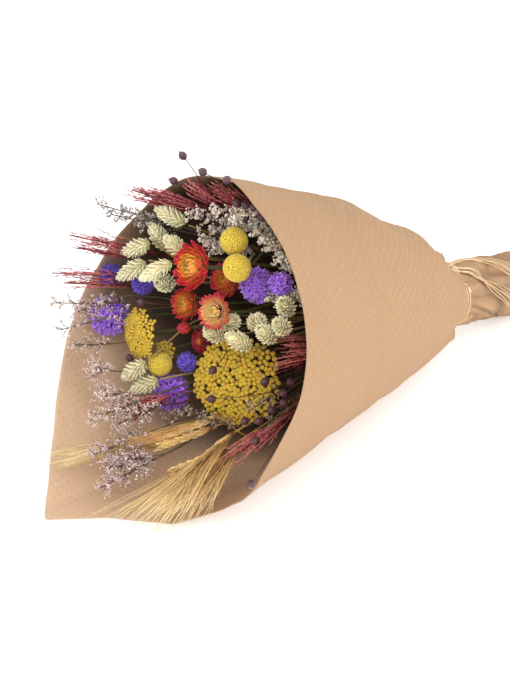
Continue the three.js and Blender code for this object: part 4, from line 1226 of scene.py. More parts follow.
@dataclass
class Writer:
    """Lays skins down on the floor, as the model lies, and writes them as the scene's pieces."""

    paper_columns: int = 30
    paper_rows: tuple[float, ...] = (0, 0.06, 0.14, 0.25, 0.4, 0.58, 0.79, 1)

    def __post_init__(self) -> None:
        """Finds the shift from the model's wrapper, whose corners are known in both frames."""
        s, c = math.sin(TILT), math.cos(TILT)
        self.turn = np.array([[0, s, -c], [-1, 0, 0], [0, c, s]])
        phi = 360 - 360 / self.paper_columns * np.arange(self.paper_columns)
        w = NECK + (PAPER.rim(phi) - NECK) * np.array(self.paper_rows)[:, None]
        phi = np.broadcast_to(phi, w.shape)
        laid = PAPER.on_floor(polar(PAPER.cone(phi, w), phi, w), 0) @ self.turn.T * 1e-3
        self.shift = np.array(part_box("kraft_wrapper")[0]) - laid.reshape(-1, 3).min(0)
        self.materials: dict[Slot, bpy.types.Material] = {}

    def place(self, points: Array) -> Array:
        """Points in the model's frame, in metres."""
        return points @ self.turn.T * 1e-3 + self.shift

    def write(self, skin: Skin, node: str, slot: Slot) -> bpy.types.Object:
        """Writes a skin as the piece that stands for a node.

        Args:
            skin: The gathered surface.
            node: The model's node.
            slot: Where its finish comes from.

        Returns:
            The piece.
        """
        points, faces = self.place(np.concatenate(skin.points)), np.concatenate(skin.faces)
        tints = np.concatenate(skin.tints)
        mesh = bpy.data.meshes.new(f"{node}_skin")
        mesh.vertices.add(len(points))
        mesh.vertices.foreach_set("co", points.astype(np.float32).ravel())
        mesh.loops.add(faces.size)
        mesh.loops.foreach_set("vertex_index", faces.astype(np.int32).ravel())
        mesh.polygons.add(len(faces))
        mesh.polygons.foreach_set("loop_start", np.arange(0, faces.size, 3, dtype=np.int32))
        mesh.polygons.foreach_set("use_smooth", np.ones(len(faces), bool))
        mesh.update(calc_edges=True)
        rgba = np.concatenate([np.clip(tints, 0, 1), np.ones((len(tints), 1))], axis=1)
        stored = mesh.attributes.new("tint", "FLOAT_COLOR", "POINT").data
        stored.foreach_set("color", rgba.astype(np.float32).ravel())
        if slot not in self.materials:
            self.materials[slot] = FINISHES[slot].make()
        mesh.materials.append(self.materials[slot])
        piece = bpy.data.objects.new(f"{node}_fine", mesh)
        bpy.context.scene.collection.objects.link(piece)
        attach(piece, "root")
        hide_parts(node)
        log.info("%s: %d triangles", piece.name, len(faces))
        return piece


# ---- flower heads
Blend = tuple[int, int, int]


@dataclass(frozen=True)
class StrawflowerLook:
    """One strawflower's colours, from its bracts' base to their tip, and how far its bracts curl inwards."""

    outer: Blend
    inner: Blend
    disc: int
    curl: float


STRAWFLOWERS = {f"strawflower_{n + 1}": StrawflowerLook(*look) for n, look in enumerate((
    ((0xFFC04C, 0xF06A3C, 0xC42A3C), (0xFFF48C, 0xFFDC60, 0xF99C48), 0xFBD050, 1.25),
    ((0xFFC454, 0xF27C48, 0xCC3850), (0xFFE870, 0xFDBC58, 0xEE6C44), 0xF6C050, 1.1),
    ((0xFFC860, 0xF67E40, 0xCE3844), (0xFFF088, 0xFFCC60, 0xF58844), 0xFBD050, 1.15),
    ((0xFFEEB4, 0xFFB478, 0xD84654), (0xFFF8CC, 0xFFE69C, 0xFFBE78), 0xFFD668, 0.85),
    ((0xF88C60, 0xDC4454, 0xB42A48), (0xFFC078, 0xEC605C, 0xC43448), 0xE89040, 0.6),
))}


@dataclass(frozen=True)
class Strawflower:
    """Papery bracts in rows, the outer ones spread and the inner ones upright, round a disc of florets.

    Each row is (count, start radius, start height, length, slope in degrees). The first two sizes are shares
    of the flower, the length is a share of the outermost bracts'. Those are as long as they have to be to
    reach the flower's radius: an arc that starts at angle a and turns by c reaches (sin(a + c) - sin a) / c
    of its length outwards.
    """

    outer_rows: tuple = ((22, 0.34, 0.14, 1.0, 5), (22, 0.33, 0.18, 0.93, 17), (20, 0.31, 0.24, 0.85, 30))
    inner_rows: tuple = ((18, 0.28, 0.32, 0.76, 43), (16, 0.25, 0.39, 0.66, 56), (13, 0.21, 0.44, 0.55, 70))
    dome: Shape = turned([(0, 0), (0.0, 0.25), (0.06, 0.24), (0.12, 0.16), (0.15, 0.06), (0.155, 0)], 20)
    dome_at: float = 0.42
    floret: Shape = turned([(0, 0), (0.1, 0.2), (0.7, 0.3), (1, 0.36), (0.9, 0.1), (0.85, 0)], 5)
    florets: int = 120
    floret_size: float = 0.065

    def rows(self, rows: tuple, size: float, colours: Blend, curl: float, seed: int) -> Skin:
        """Bracts in rows, each row turned a little on from the last; the colour pales from row to row.

        Args:
            rows: The rows, outermost first.
            size: Radius of the flower.
            colours: From the bracts' base to their tip.
            curl: Angle that a bract turns upwards along its length, in radians.
            seed: Seed of the small differences.

        Returns:
            The bracts.
        """
        skin = Skin(seed)
        leaf = bract(0.30, 0.62, 0.36, curl, 0.04, 9, 4)
        start = math.radians(self.outer_rows[0][4])
        longest = (1 - self.outer_rows[0][1]) * size * curl / (math.sin(start + curl) - math.sin(start))
        for n, (count, from_axis, z, length, slope) in enumerate(rows):
            phi = np.arange(count) * 360 / count + n * 180 / count * 1.3 + skin.rng.uniform(-5, 5, count)
            out, ahead, over = raised(phi, np.radians(slope + skin.rng.uniform(-6, 6, count))[:, None])
            turns = frames(ahead, over + polar(0.25, phi + 90, 0) * skin.rng.uniform(-1, 1, (count, 1)))
            roots = out * from_axis * size + UP * z * size
            base, middle, tip = colours
            late = 0.14 * n
            skin.scatter(leaf, roots, turns, length * longest * skin.rng.uniform(0.93, 1.05, count),
                         [(0.08 + late, base), (0.42 + late, middle), (0.74 + late, tip)], 0.16, shade=0.14)
        return skin

    def disc(self, size: float, colour: int, seed: int) -> Skin:
        """Short upright florets on a dome.

        Args:
            size: Radius of the flower.
            colour: The florets' colour.
            seed: Seed of the small differences.

        Returns:
            The disc.
        """
        skin = Skin(seed)
        stand = UP[None] * size * self.dome_at
        skin.scatter(self.dome, stand, UPRIGHT, size, [(0, 0x9A6420), (1, 0xB07C2A)], 0.0)
        out = globe(self.florets, 1, 0.2)
        roots = stand + out * size * [0.22, 0.22, 0.12] + UP * size * 0.02
        skin.scatter(self.floret, roots, frames(unit(out * [0.6, 0.6, 1]), (0.9, 0.1, 0)),
                     size * self.floret_size, [(0, 0xA8701E), (0.7, colour), (1, 0xF8CC50)], 0.15)
        return skin


@dataclass(frozen=True)
class Bud:
    """A closed strawflower: bracts that overlap like tiles round a spindle.

    Each row is (count, start radius, start height, length, slope in degrees), in shares of the size.
    """

    leaf: Shape = bract(0.55, 0.5, 0.45, 0.7, 0.05, 8, 4)
    body: Shape = turned([(0, 0), (0.1, 0.35), (0.6, 0.62), (1.2, 0.55), (1.7, 0.25), (1.95, 0)], 16)
    rows: tuple = ((7, 0.3, 0.1, 0.9, 62), (7, 0.55, 0.45, 0.95, 78), (7, 0.6, 0.8, 1.0, 92),
                   (6, 0.5, 1.1, 0.95, 100))

    def skin(self, size: float, seed: int) -> Skin:
        """Builds it from its foot upwards.

        Args:
            size, seed: Half its height, and seed of its small differences.

        Returns:
            The bud.
        """
        skin = Skin(seed)
        skin.scatter(self.body, np.zeros((1, 3)), UPRIGHT, size, [(0, 0x7E2020), (2, 0xA62830)], 0.0)
        for n, (count, r, z, length, slope) in enumerate(self.rows):
            out, ahead, over = raised(np.arange(count) * 360 / count + n * 26, math.radians(slope))
            skin.scatter(self.leaf, (out * r + UP * z) * size, frames(ahead, over), length * size,
                         [(0, 0xD86A34), (0.5, 0xC23040), (1, 0x9C1E30)], 0.15, shade=0.12)
        return skin


@dataclass(frozen=True)
class Craspedia:
    """A ball of hundreds of tiny tube florets, whose lengths and widths are shares of its radius."""

    florets: int = 430
    reach: float = 0.22
    wide: float = 0.188
    core: Shape = ball(0.84, 14, 24)
    cup: Shape = turned([(0, 0), (0.15, 0.3), (0.7, 0.46), (0.9, 0.47), (1.0, 0.36), (0.97, 0.16),
                         (0.84, 0)], 8)

    def skin(self, size: float, seed: int) -> Skin:
        """Builds it round its centre.

        Args:
            size, seed: Radius of the ball, and seed of its small differences.

        Returns:
            The head.
        """
        skin, n = Skin(seed), self.florets
        skin.scatter(self.core, np.zeros((1, 3)), UPRIGHT, size, [(-1, 0xB8962A), (1, 0xB8962A)], 0.0)
        out = unit(globe(n) + skin.rng.normal(0, 0.008, (n, 3)))
        reach = size * self.reach
        roots = out * (size * 0.975 - reach) * skin.rng.uniform(0.975, 1.0, (n, 1))
        scales = sized(reach, np.full(n, size * self.wide))
        skin.scatter(self.cup, roots, frames(out, (0.2, 0.3, 0.93)), scales,
                     [(0, 0x94761A), (0.7, 0xB49322), (0.88, 0xD0B030), (1, 0xE0C648)], 0.13)
        return skin


@dataclass(frozen=True)
class Yarrow:
    """A flat dome of golden beads on branching stalks; a small dome has small beads."""

    pitch: float = 4.3
    small_pitch: float = 2.8
    large_from: float = 30.0
    tufts: int = 5
    bead: Shape = turned(
        [(0, 0), (0.05, 0.30), (0.35, 0.50), (0.65, 0.50), (0.88, 0.36), (1.0, 0.14), (1.02, 0)], 9, 4, 0.06)
    tuft: Shape = turned([(-0.3, 0), (0.1, 0.5), (0.45, 0.42), (0.55, 0)], 5)

    def spread(self, skin: Skin, size: float, pitch: float, seed: int) -> Array:
        """Places of the beads on the flat.

        They start on a shaken sunflower spiral and push each other apart until they are a pitch apart.

        Args:
            skin: The head's skin, for its random numbers.
            size: Radius of the dome.
            pitch: Distance between two beads.
            seed: Seed of the outline's waves.

        Returns:
            The places, (n, 2).
        """
        n = int(math.pi * size**2 / (pitch**2 * 0.80))
        turn = np.arange(n) * GOLDEN_TURN
        rho = np.sqrt((np.arange(n) + 0.5) / n)
        flat = np.stack([np.cos(turn), np.sin(turn)], -1) * (rho * size * 0.96)[:, None]
        flat += skin.rng.normal(0, pitch * 0.3, (n, 2))
        for _ in range(14):
            apart = flat[:, None] - flat[None]
            gap = np.linalg.norm(apart, axis=-1) + 1e-6
            push = np.maximum(0, pitch * 0.95 - gap) / gap
            flat += (apart * push[..., None]).sum(1) * 0.24
        angle = np.arctan2(flat[:, 1], flat[:, 0])
        return flat * (1 + 0.035 * np.sin(angle * 5 + seed) + 0.03 * np.sin(angle * 9 + 2 * seed))[:, None]

    def skin(self, size: float, seed: int) -> Skin:
        """Builds it round the middle of its dome's rim.

        The dome's height is 0.3 of its radius times the power 0.7 of one minus the square of the way out;
        bunches of beads stand a little higher, and some spots are left bare.

        Args:
            size, seed: Radius of the dome, and seed of its small differences.

        Returns:
            The head.
        """
        skin = Skin(seed)
        pitch = self.pitch if size > self.large_from else self.small_pitch
        flat = self.spread(skin, size, pitch, seed)
        lumps = ripples(flat[:, 0], flat[:, 1], seed, 9, 15.0)
        kept = ripples(flat[:, 0], flat[:, 1], seed + 5, 9, 11.0) > -1.5
        flat, lumps = flat[kept], lumps[kept]
        n = len(flat)
        rho = np.clip(np.linalg.norm(flat, axis=1) / size, 0, 1)
        flat = np.column_stack([flat, np.zeros(n)])
        height = size * 0.3 * np.maximum(0, 1 - rho**2) ** 0.7 + 1.1 * lumps * min(1, size / 20)
        height += skin.rng.normal(0, 0.09 * pitch, n)
        tops = flat + UP * (height - 0.7 * pitch)[:, None]
        spin = frames(unit(flat / size * 0.6 + UP + skin.rng.normal(0, 0.14, (n, 3))), (1, 0.1, 0))
        # Each bead runs from near-black at its root, painted shade between the beads, through gold to a pale
        # top, painted highlight.
        skin.scatter(self.bead, tops, spin, sized(pitch * 0.9, pitch * skin.rng.uniform(1.0, 1.18, n)),
                     [(0, 0x42360E), (0.4, 0x9A7616), (0.7, 0xCEA826), (1, 0xE2C240)], 0.16)
        phi = np.arange(self.tufts) * 2 * np.pi / self.tufts
        ring = np.stack([np.full(self.tufts, 0.80), 0.30 * np.cos(phi), 0.30 * np.sin(phi)], -1) * pitch
        spots = tops[:, None] + np.einsum("kij,tj->kti", spin, ring)
        skin.scatter(self.tuft, spots, np.repeat(spin, self.tufts, axis=0), pitch * 0.34,
                     [(0, 0xBC9420), (1, 0xE6CC4E)], 0.14)
        foot = -UP * size * 0.3
        fork = foot * 0.75 + flat[::3] * 0.35 + UP * height[::3, None] * 0.1
        bend = flat[::3] * 0.8 + UP * (height[::3, None] * 0.5 - 2)
        paths = np.stack([np.broadcast_to(foot, fork.shape), fork, bend, tops[::3]], axis=1)
        thin = min(1, size / 24)
        skin.tubes(paths, np.array([0.9, 0.55, 0.4, 0.3]) * thin, 4, [(0, 0x6A6A3A), (1, 0x7A6E2C)])
        return skin


@dataclass(frozen=True)
class Statice:
    """A rounded cluster of papery funnels with crinkled edges."""

    large_from: float = 12.0
    core: Shape = ball(0.6, 9, 14)
    funnel: Shape = turned(
        [(0, 0), (0.1, 0.10), (0.5, 0.18), (0.82, 0.48), (1.0, 0.80), (0.95, 0.72), (0.72, 0.30), (0.45, 0)],
        24, 6, 0.16, 0.30)
    eye: Shape = turned([(0, 0), (0.6, 0.2), (1, 0.5), (0.9, 0.2), (0.8, 0)], 5)
    eyes: int = 5
    head_with_eyes: str = "statice_2"
    dark_heads: tuple[str, ...] = ("statice_4", "statice_5", "statice_7")
    deep: Blend = (0x402A8C, 0x5A3EB8, 0x7C60D8)
    bright: Blend = (0x6028B4, 0x9C4CF0, 0xCC98FF)

    def skin(self, size: float, seed: int, dark: bool, with_eyes: bool) -> Skin:
        """Builds it round its centre.

        Args:
            size, seed: Radius of the cluster, and seed of its small differences.
            dark: Whether it is one of the deep violet ones.
            with_eyes: Whether a few small white corollas show.

        Returns:
            The head.
        """
        skin = Skin(seed)
        # The core is near-black violet: painted shade inside the cluster.
        skin.scatter(self.core, np.zeros((1, 3)), UPRIGHT, size, [(-1, 0x241636), (1, 0x2C1A44)], 0.0)
        n, mouth = (92, 6.6) if size > self.large_from else (52, 5.6)
        out = unit(globe(n, 1, -0.85) + skin.rng.normal(0, 0.10, (n, 3)))
        deep = skin.rng.uniform(0.80, 1.0, n)
        length = size * 0.50
        roots = out * (size * 0.97 * deep - length)[:, None]
        ahead = unit(out + skin.rng.normal(0, 0.34, (n, 3)))
        wide = mouth * skin.rng.uniform(0.75, 1.2, n)
        base, middle, tip = self.deep if dark else self.bright
        # The funnels darken to near-black at their roots, painted shade deep in the cluster; their pale tips
        # are partly painted highlight.
        skin.scatter(self.funnel, roots, frames(ahead, (0.3, 0.4, 0.86)), sized(length, wide),
                     [(0, 0x20123A), (0.45, base), (0.8, middle), (1, tip)], 0.24)
        if with_eyes:
            k = skin.rng.choice(n // 2, self.eyes, replace=False)
            skin.scatter(self.eye, roots[k] + ahead[k] * length * 0.6, frames(ahead[k], UP), 3.0,
                         [(0, 0xD8D0E0), (1, 0xF4F0F4)], 0.05)
        return skin


# ---- sprays
@dataclass(frozen=True)
class SprayMaker:
    """Base of every spray: the stalks, from the cut end to the fork and from there to each tip."""

    radius: float = 1.0
    stem_radius: float = 1.45
    colours: tuple = ((0.0, 0xC9B98A), (0.02, 0x8B7440), (1.0, 0x9A8348))

    def stalks(self, skin: Skin, spray: Spray) -> None:
        """Adds three thin stems side by side up to the fork, and a twig to each tip.

        Args:
            skin: The spray's skin.
            spray: The spray.
        """
        path = soften(spray.trunk, 8)
        share = np.clip((path[:, 2] - FAN_START) / max(1.0, spray.trunk[3][2] - FAN_START), 0, 1)
        for k in range(3):
            side = polar(1.55, 120 * k + 20 * spray.number, 0) * (1 - 0.72 * share)[:, None]
            radii = self.stem_radius - (self.stem_radius - self.radius) * share
            skin.tubes(path + side, radii, 7, self.colours, 0.1)
        for twig in spray.twigs:
            line = soften(twig, 6)
            radii = np.linspace(self.radius, self.radius * 0.7, len(line))
            skin.tubes(line, radii, 6, self.colours[1:], 0.1)

    def skin(self, spray: Spray) -> Skin:
        """Builds the whole spray.

        Args:
            spray: The spray.

        Returns:
            Its stalks and what every twig carries.
        """
        skin = Skin(spray.number * 31 + len(spray.kind.value))
        self.stalks(skin, spray)
        for i, path in enumerate(spray.twigs):
            self.tip(skin, spray, i, path)
        return skin

    def tip(self, skin: Skin, spray: Spray, i: int, path: Path) -> None:
        """Adds what a twig carries.

        Args:
            skin: The spray's skin.
            spray: The spray.
            i: Number of the tip.
            path: The twig's start, bend and end.
        """
        raise NotImplementedError


@dataclass(frozen=True)
class Canary(SprayMaker):
    """Canary grass: egg-shaped heads of overlapping keeled scales.

    The girth lists (share of the way up, radius) of a head's outline.
    """

    radius: float = 1.1
    scales: int = 110
    leaf: Shape = bract(0.36, 0.45, -0.45, 0.40, 0.08, 7, 4)
    creamy: tuple[str, ...] = ("canary_grass_3", "canary_grass_4", "canary_grass_5")
    cream: tuple[int, int] = (0xF0E0A4, 0xFFF4C4)
    green: tuple[int, int] = (0xB0AE78, 0xDAD09E)
    girth: tuple = ((0, 1.2), (0.08, 3.4), (0.2, 5.4), (0.38, 6.5), (0.55, 6.3), (0.72, 5.2), (0.86, 3.6),
                    (1, 1.2))

    def core(self) -> Shape:
        """The solid middle of a head, a little slimmer and shorter than its outline."""
        inner = [(at * 0.92 + 0.01, r * 0.72 / CANARY_LENGTH) for at, r in self.girth]
        return turned([(0, 0), *inner, (0.94, 0)], 14)

    def tip(self, skin: Skin, spray: Spray, i: int, path: Path) -> None:
        """Adds one head: a core, and scales on a golden spiral that follow the outline to its tip."""
        foot, axis = spray.tips[i], spray.axes[i]
        up = np.array([0.2, 0.9, 0.3])
        t, girth = np.array(self.girth).T
        skin.scatter(self.core(), foot[None], frames(axis[None], up), CANARY_LENGTH,
                     [(0, 0xA8A070), (1, 0xC8BE90)], 0.0)
        n = self.scales
        at = 0.90 * (np.arange(n) + 0.5) / n
        phi = np.radians(np.arange(n) * 137.508)[:, None]
        _, y, z = frames(axis, up).T
        side = np.cos(phi) * y + np.sin(phi) * z
        length = np.interp(at, [0, 0.25, 0.6, 0.9], [7.0, 10.2, 9.6, 5.4]) * skin.rng.uniform(0.9, 1.12, n)
        inner = np.interp(at, t, girth) * 0.58
        reach = np.minimum(at + length * 0.95 / CANARY_LENGTH, 1.02)
        outer = np.interp(reach, t, girth) * skin.rng.uniform(1.04, 1.30, n)
        roots = foot + axis * (at * CANARY_LENGTH)[:, None] + side * inner[:, None]
        ends = foot + axis * (reach * CANARY_LENGTH)[:, None] + side * outer[:, None]
        ends += skin.rng.normal(0, 0.25, (n, 3))
        middle, tip = self.cream if spray.node in self.creamy or i % 3 == 2 else self.green
        skin.scatter(self.leaf, roots, frames(unit(ends - roots), side), length,
                     [(0, 0x8A8258), (0.25, middle), (0.6, tip), (1, 0xFFF8D8)], 0.16, shade=0.14)


@dataclass(frozen=True)
class Flax(SprayMaker):
    """Flax: round pods with a point, on thin stalks, with five small sepals."""

    radius: float = 0.55
    colours: tuple = ((0.0, 0xB09A70), (0.02, 0x5C4030), (1.0, 0x54352E))
    pod_length: float = 10.2
    pod_radius: float = 3.55
    sepal_length: float = 4.6
    pod: Shape = turned([(0, 0), (0.04, 0.35), (0.14, 0.72), (0.3, 0.98), (0.46, 1.0), (0.62, 0.82),
                         (0.76, 0.46), (0.86, 0.2), (1.0, 0.05), (1.02, 0)], 20, 5, 0.035)
    sepal: Shape = bract(0.5, 0.4, 0.3, 0.9, 0.07, 6, 4)

    def tip(self, skin: Skin, spray: Spray, i: int, path: Path) -> None:
        """Adds one pod."""
        axis = unit(path[2] - path[1])
        foot = path[2] - axis * FLAX_POD * 0.95
        girth = self.pod_radius * (1 + 0.06 * skin.rng.uniform(-1, 1, 1))
        skin.scatter(self.pod, foot[None], frames(axis[None], (0.3, 0.9, 0.1)), sized(self.pod_length, girth),
                     [(0, 0x2E1A1E), (0.3, 0x462A32), (0.7, 0x50323E), (1, 0x6A4C3E)], 0.12)
        side = polar(1, np.arange(5) * 72, 0) @ turn_to(axis).T
        skin.scatter(self.sepal, foot + side * 0.5, frames(unit(side + axis * 0.45), axis - side * 0.4),
                     self.sepal_length, [(0, 0x55382C), (1, 0x8A6B4C)], 0.15)


def on_curve(a: Array, b: Array, c: Array, share: Array) -> Array:
    """Points at shares (k, n, 1) along the parabolas from a by b to c, each (k, 3)."""
    a, b, c = a[:, None], b[:, None], c[:, None]
    return (1 - share) ** 2 * a + 2 * share * (1 - share) * b + share**2 * c


@dataclass(frozen=True)
class PanicleLook:
    """Florets' colours from root to tip, how full, wide and coarse a spray is, and where they start."""

    petals: Blend
    side_twigs: int
    reach: float
    size: float
    florets: int
    start: float = 0.22


CREAM_LOOK = PanicleLook((0x866A58, 0xF4DAC0, 0xFFF0DC), 40, 8.0, 1.75, 11)
PANICLES = {
    "sea_lavender_1": PanicleLook((0x5A5048, 0x968A80, 0xC2B6AA), 18, 9.0, 1.4, 9),
    "sea_lavender_2": PanicleLook((0x7A625C, 0xC8ACA4, 0xEED6CA), 26, 9.5, 1.3, 10),
    "sea_lavender_3": PanicleLook((0x7E5E58, 0xD4ACA2, 0xFCE2D6), 44, 11.5, 1.3, 12, 0.46),
    "sea_lavender_4": PanicleLook((0x7A5A58, 0xC6A09C, 0xF0D6D0), 44, 12.0, 1.25, 12, 0.42),
    "sea_lavender_5": PanicleLook((0x94746A, 0xF6DAC8, 0xFFEEDE), 40, 8.5, 1.6, 11),
    "sea_lavender_6": PanicleLook((0x5A4840, 0x94786C, 0xC8AC9C), 14, 8.0, 1.3, 7),
    "cream_spray_1": CREAM_LOOK,
    "cream_spray_2": CREAM_LOOK,
}


@dataclass(frozen=True)
class Panicle(SprayMaker):
    """Sea lavender and cream sprays: fine side twigs crowded with tiny funnels."""

    radius: float = 0.7
    colours: tuple = ((0.0, 0xB8A880), (0.02, 0x6A5A40), (1.0, 0x5A4638))
    floret: Shape = turned([(0, 0), (0.15, 0.16), (0.6, 0.24), (1.0, 0.6), (0.8, 0)], 5)

    def tip(self, skin: Skin, spray: Spray, i: int, path: Path) -> None:
        """Adds the side twigs of one tip, longest at its middle, each with florets on its upper half."""
        look, rng = PANICLES[spray.node], skin.rng
        n, k = look.side_twigs, look.florets
        _, bend, end = path
        t = look.start + (1 - look.start) * (np.arange(n) + rng.uniform(0, 1, n)) / n
        roots = mix(bend, end, t[:, None])
        axis = unit(end - bend)
        side = unit(np.cross(rng.normal(0, 1, (n, 3)), axis))
        length = look.reach * (0.45 + 0.75 * np.sin(np.pi * t * 0.9)) * rng.uniform(0.6, 1.25, n)
        ends = roots + (side * 0.85 + axis * rng.uniform(0.3, 1.0, (n, 1))) * length[:, None]
        middle = (roots + ends) / 2 + (axis * 0.14 - side * 0.04) * length[:, None]
        radii = np.array([0.32, 0.24, 0.16])
        skin.tubes(np.stack([roots, middle, ends], 1), radii, 3, self.colours[1:])
        share = rng.uniform(0.2, 1.0, (n, k, 1))
        spots = on_curve(roots, middle, ends, share) + rng.normal(0, 0.5, (n, k, 3))
        ahead = unit((ends - roots)[:, None] / length[:, None, None] + rng.normal(0, 0.7, (n, k, 3)))
        base, pale, tip = look.petals
        skin.scatter(self.floret, spots, frames(ahead, (0.1, 0.97, 0.2)),
                     look.size * rng.uniform(0.7, 1.3, n * k), [(0, base), (0.5, pale), (1, tip)], 0.24)


@dataclass(frozen=True)
class Tuft:
    """Strands on each tip of a red spray: dark and pale ones, their radius, length and reach past the tip."""

    dark: int
    pale: int
    radius: float
    short: float
    long: float
    past: float


TUFTS = {
    "red_grass_1": Tuft(12, 12, 0.40, 36, 92, 4), "red_grass_2": Tuft(5, 6, 0.36, 40, 84, 4),
    "red_grass_3": Tuft(4, 14, 0.50, 22, 60, 24), "red_grass_4": Tuft(5, 9, 0.40, 14, 34, 3),
}


@dataclass(frozen=True)
class RedGrass(SprayMaker):
    """Dyed grass: loose tufts of thin strands with narrow spikelets."""

    radius: float = 0.8
    colours: tuple = ((0.0, 0xB09A70), (0.02, 0x6A3A2C), (1.0, 0x6E2A28))
    spikelet: Shape = bract(0.13, 0.4, 0.5, 0.15, 0.07, 5, 2)
    spikelets: int = 9
    blends: tuple[Blend, Blend] = ((0x521A2A, 0x8E3042, 0xC25C64), (0xA84A54, 0xD67876, 0xF0A498))

    def tip(self, skin: Skin, spray: Spray, i: int, path: Path) -> None:
        """Adds the strands of one tip, dark and pale ones, which part from its twig and end round it."""
        rng, tuft, k = skin.rng, TUFTS[spray.node], self.spikelets
        _, bend, end = path
        axis = unit(end - bend)
        span = float(np.linalg.norm(end - bend))
        for (base, middle_colour, tip), part in zip(self.blends, (tuft.dark, tuft.pale)):
            roots = end - axis * np.minimum(rng.uniform(tuft.short, tuft.long, (part, 1)), span)
            side = unit(np.cross(rng.normal(0, 1, (part, 3)), axis))
            reach = rng.uniform(1.0, 8.0, (part, 1)) * min(1.0, span / 40)
            ends = end + side * reach + axis * rng.uniform(-tuft.short * 0.4, tuft.past, (part, 1))
            middle = (roots + ends) / 2 + side * reach * 0.35
            stops = [(0, base), (0.6, middle_colour), (1, tip)]
            radii = np.array([1, 0.76, 0.32]) * tuft.radius
            skin.tubes(np.stack([roots, middle, ends], 1), radii, 4, stops, 0.2)
            share = np.broadcast_to(((np.arange(k) + 0.5) / k * 0.8 + 0.2)[None, :, None], (part, k, 1))
            spots = on_curve(roots, middle, ends, share)
            ahead = unit(unit(ends - roots)[:, None] + rng.normal(0, 0.16, spots.shape))
            skin.scatter(self.spikelet, spots, frames(ahead, (0.3, 0.9, 0.2)),
                         rng.uniform(4.5, 8.5, part * k), stops, 0.22)


@dataclass(frozen=True)
class Barley(SprayMaker):
    """Bearded barley: rows of grains whose long stiff bristles spread in a fan.

    For each bunch, the spread is how wide and how deep its fan is, and the lanes are how far each ear's
    bristles aim to the right, in pixels of the picture.
    """

    colours: tuple = ((0.0, 0xD8C48A), (0.02, 0xB08A48), (1.0, 0xD0AA60))
    grain: Shape = bract(0.20, 0.42, 0.55, 0.10, 0.18, 7, 4)
    grains: int = 66
    awns: int = 80
    spread: tuple = ((15, 14), (36, 14))
    lanes: tuple = ((0, 0, 0), (0, 24, -28))

    def tip(self, skin: Skin, spray: Spray, i: int, path: Path) -> None:
        """Adds one ear: grains in six rows and the bristles, which aim at a spot of the picture."""
        rng, bunch = skin.rng, BARLEY[spray.number]
        foot, end = path[2], VIEW.seen(*bunch.ears[i][2:], bunch.ear_end)
        axis = unit(end - foot)
        n = self.grains
        at = (np.arange(n) + 0.5) / n
        phi = (np.arange(n) % 6) * 60 + (np.arange(n) // 6 % 2) * 30 + rng.uniform(-8, 8, n)
        side = polar(1, phi, 0) @ turn_to(axis).T
        roots = mix(foot, end, at[:, None] * 0.92) + side * 0.8
        turns = frames(unit(axis + side * 0.14), side)
        skin.scatter(self.grain, roots, turns, 13 * rng.uniform(0.85, 1.1, n),
                     [(0, 0xB08A4C), (0.5, 0xDCB470), (1, 0xF4D498)], 0.18, shade=0.15)
        n = self.awns
        wide, high = self.spread[spray.number]
        x, y = bunch.awns
        spot = VIEW.seen(x, y, bunch.awn_end)
        right, down = VIEW.seen(x + 1, y, bunch.awn_end) - spot, VIEW.seen(x, y + 1, bunch.awn_end) - spot
        across = rng.uniform(-1, 1, (n, 1))
        spot = spot + right * self.lanes[spray.number][i]
        aim = spot + right * wide * across - down * high * (across**2 + rng.uniform(-0.3, 0.3, (n, 1)))
        side = polar(1.4, np.arange(n) * 137.5, 0) @ turn_to(axis).T
        start = mix(foot, end, (-0.1 + 1.05 * (np.arange(n) + 0.5) / n)[:, None]) + side
        tips = start + (aim - start) * rng.uniform(0.6, 1.08, (n, 1))
        sway = rng.normal(0, 1.1, (n, 3))
        paths = np.stack([start, mix(start, tips, 0.33) + sway, mix(start, tips, 0.7) + sway * 0.8, tips], 1)
        skin.tubes(paths, np.array([0.46, 0.38, 0.28, 0.10]), 3,
                   [(0, 0xB88850), (0.35, 0xE6BC7C), (1, 0xF6DAA8)], 0.34)


# ---- stems
@dataclass(frozen=True)
class Stems:
    """The stems of the single heads, thick in the bundle and thin above it, and their branches."""

    thick: float = 2.25
    branch: float = 1.3
    colours: tuple = ((0.0, 0xCDBE92), (0.015, 0x8B8250), (0.4, 0x5A5636), (0.92, 0x4E4C30), (1.0, 0x7A7648))

    def skin(self, layout: BunchLayout) -> Skin:
        """Builds every stem along its way, a little uneven and wider under its head.

        Args:
            layout: Where the stems go.

        Returns:
            All of them.
        """
        skin = Skin(77)
        for head in layout.heads:
            line = soften(head.stem, 10)
            share = smoothstep(line[:, 2], FAN_START - 10, FAN_START + 60)
            uneven = 1 + 0.05 * np.sin(line[:, 2] * 0.21 + head.size)
            radii = (self.thick * (1 - share) + head.stalk * share) * uneven
            if head.branch_of:
                radii = np.full(len(line), self.branch)
            radii[-3:] *= [1.05, 1.25, 1.5]
            skin.tubes(line, radii, 10, self.colours, 0.14)
        return skin


# ---- paper
SHEET = 0.5
FLOOR_GAP = 0.05


def wall_faces(rows: int, columns: int) -> Array:
    """Triangles of a closed wall between an outer and an inner grid that go round once.

    Args:
        rows: Points along the bunch.
        columns: Points round it.

    Returns:
        Point numbers, (k, 3): the outer grid's come first, then the inner grid's.
    """
    i, k = np.meshgrid(np.arange(rows - 1), np.arange(columns), indexing="ij")
    after = (k + 1) % columns
    a, b = i * columns + k, i * columns + after
    c, d = b + columns, a + columns
    outer = np.concatenate([np.stack([a, b, c], -1).reshape(-1, 3), np.stack([a, c, d], -1).reshape(-1, 3)])
    inner = outer[:, ::-1] + rows * columns
    k, after, last, other = k[0], after[0], (rows - 1) * columns, rows * columns
    ends = [[last + k, last + after, other + last + after],
            [last + k, other + last + after, other + last + k],
            [k, other + k, other + after], [k, other + after, after]]
    return np.concatenate([outer, inner] + [np.stack(f, -1) for f in ends])


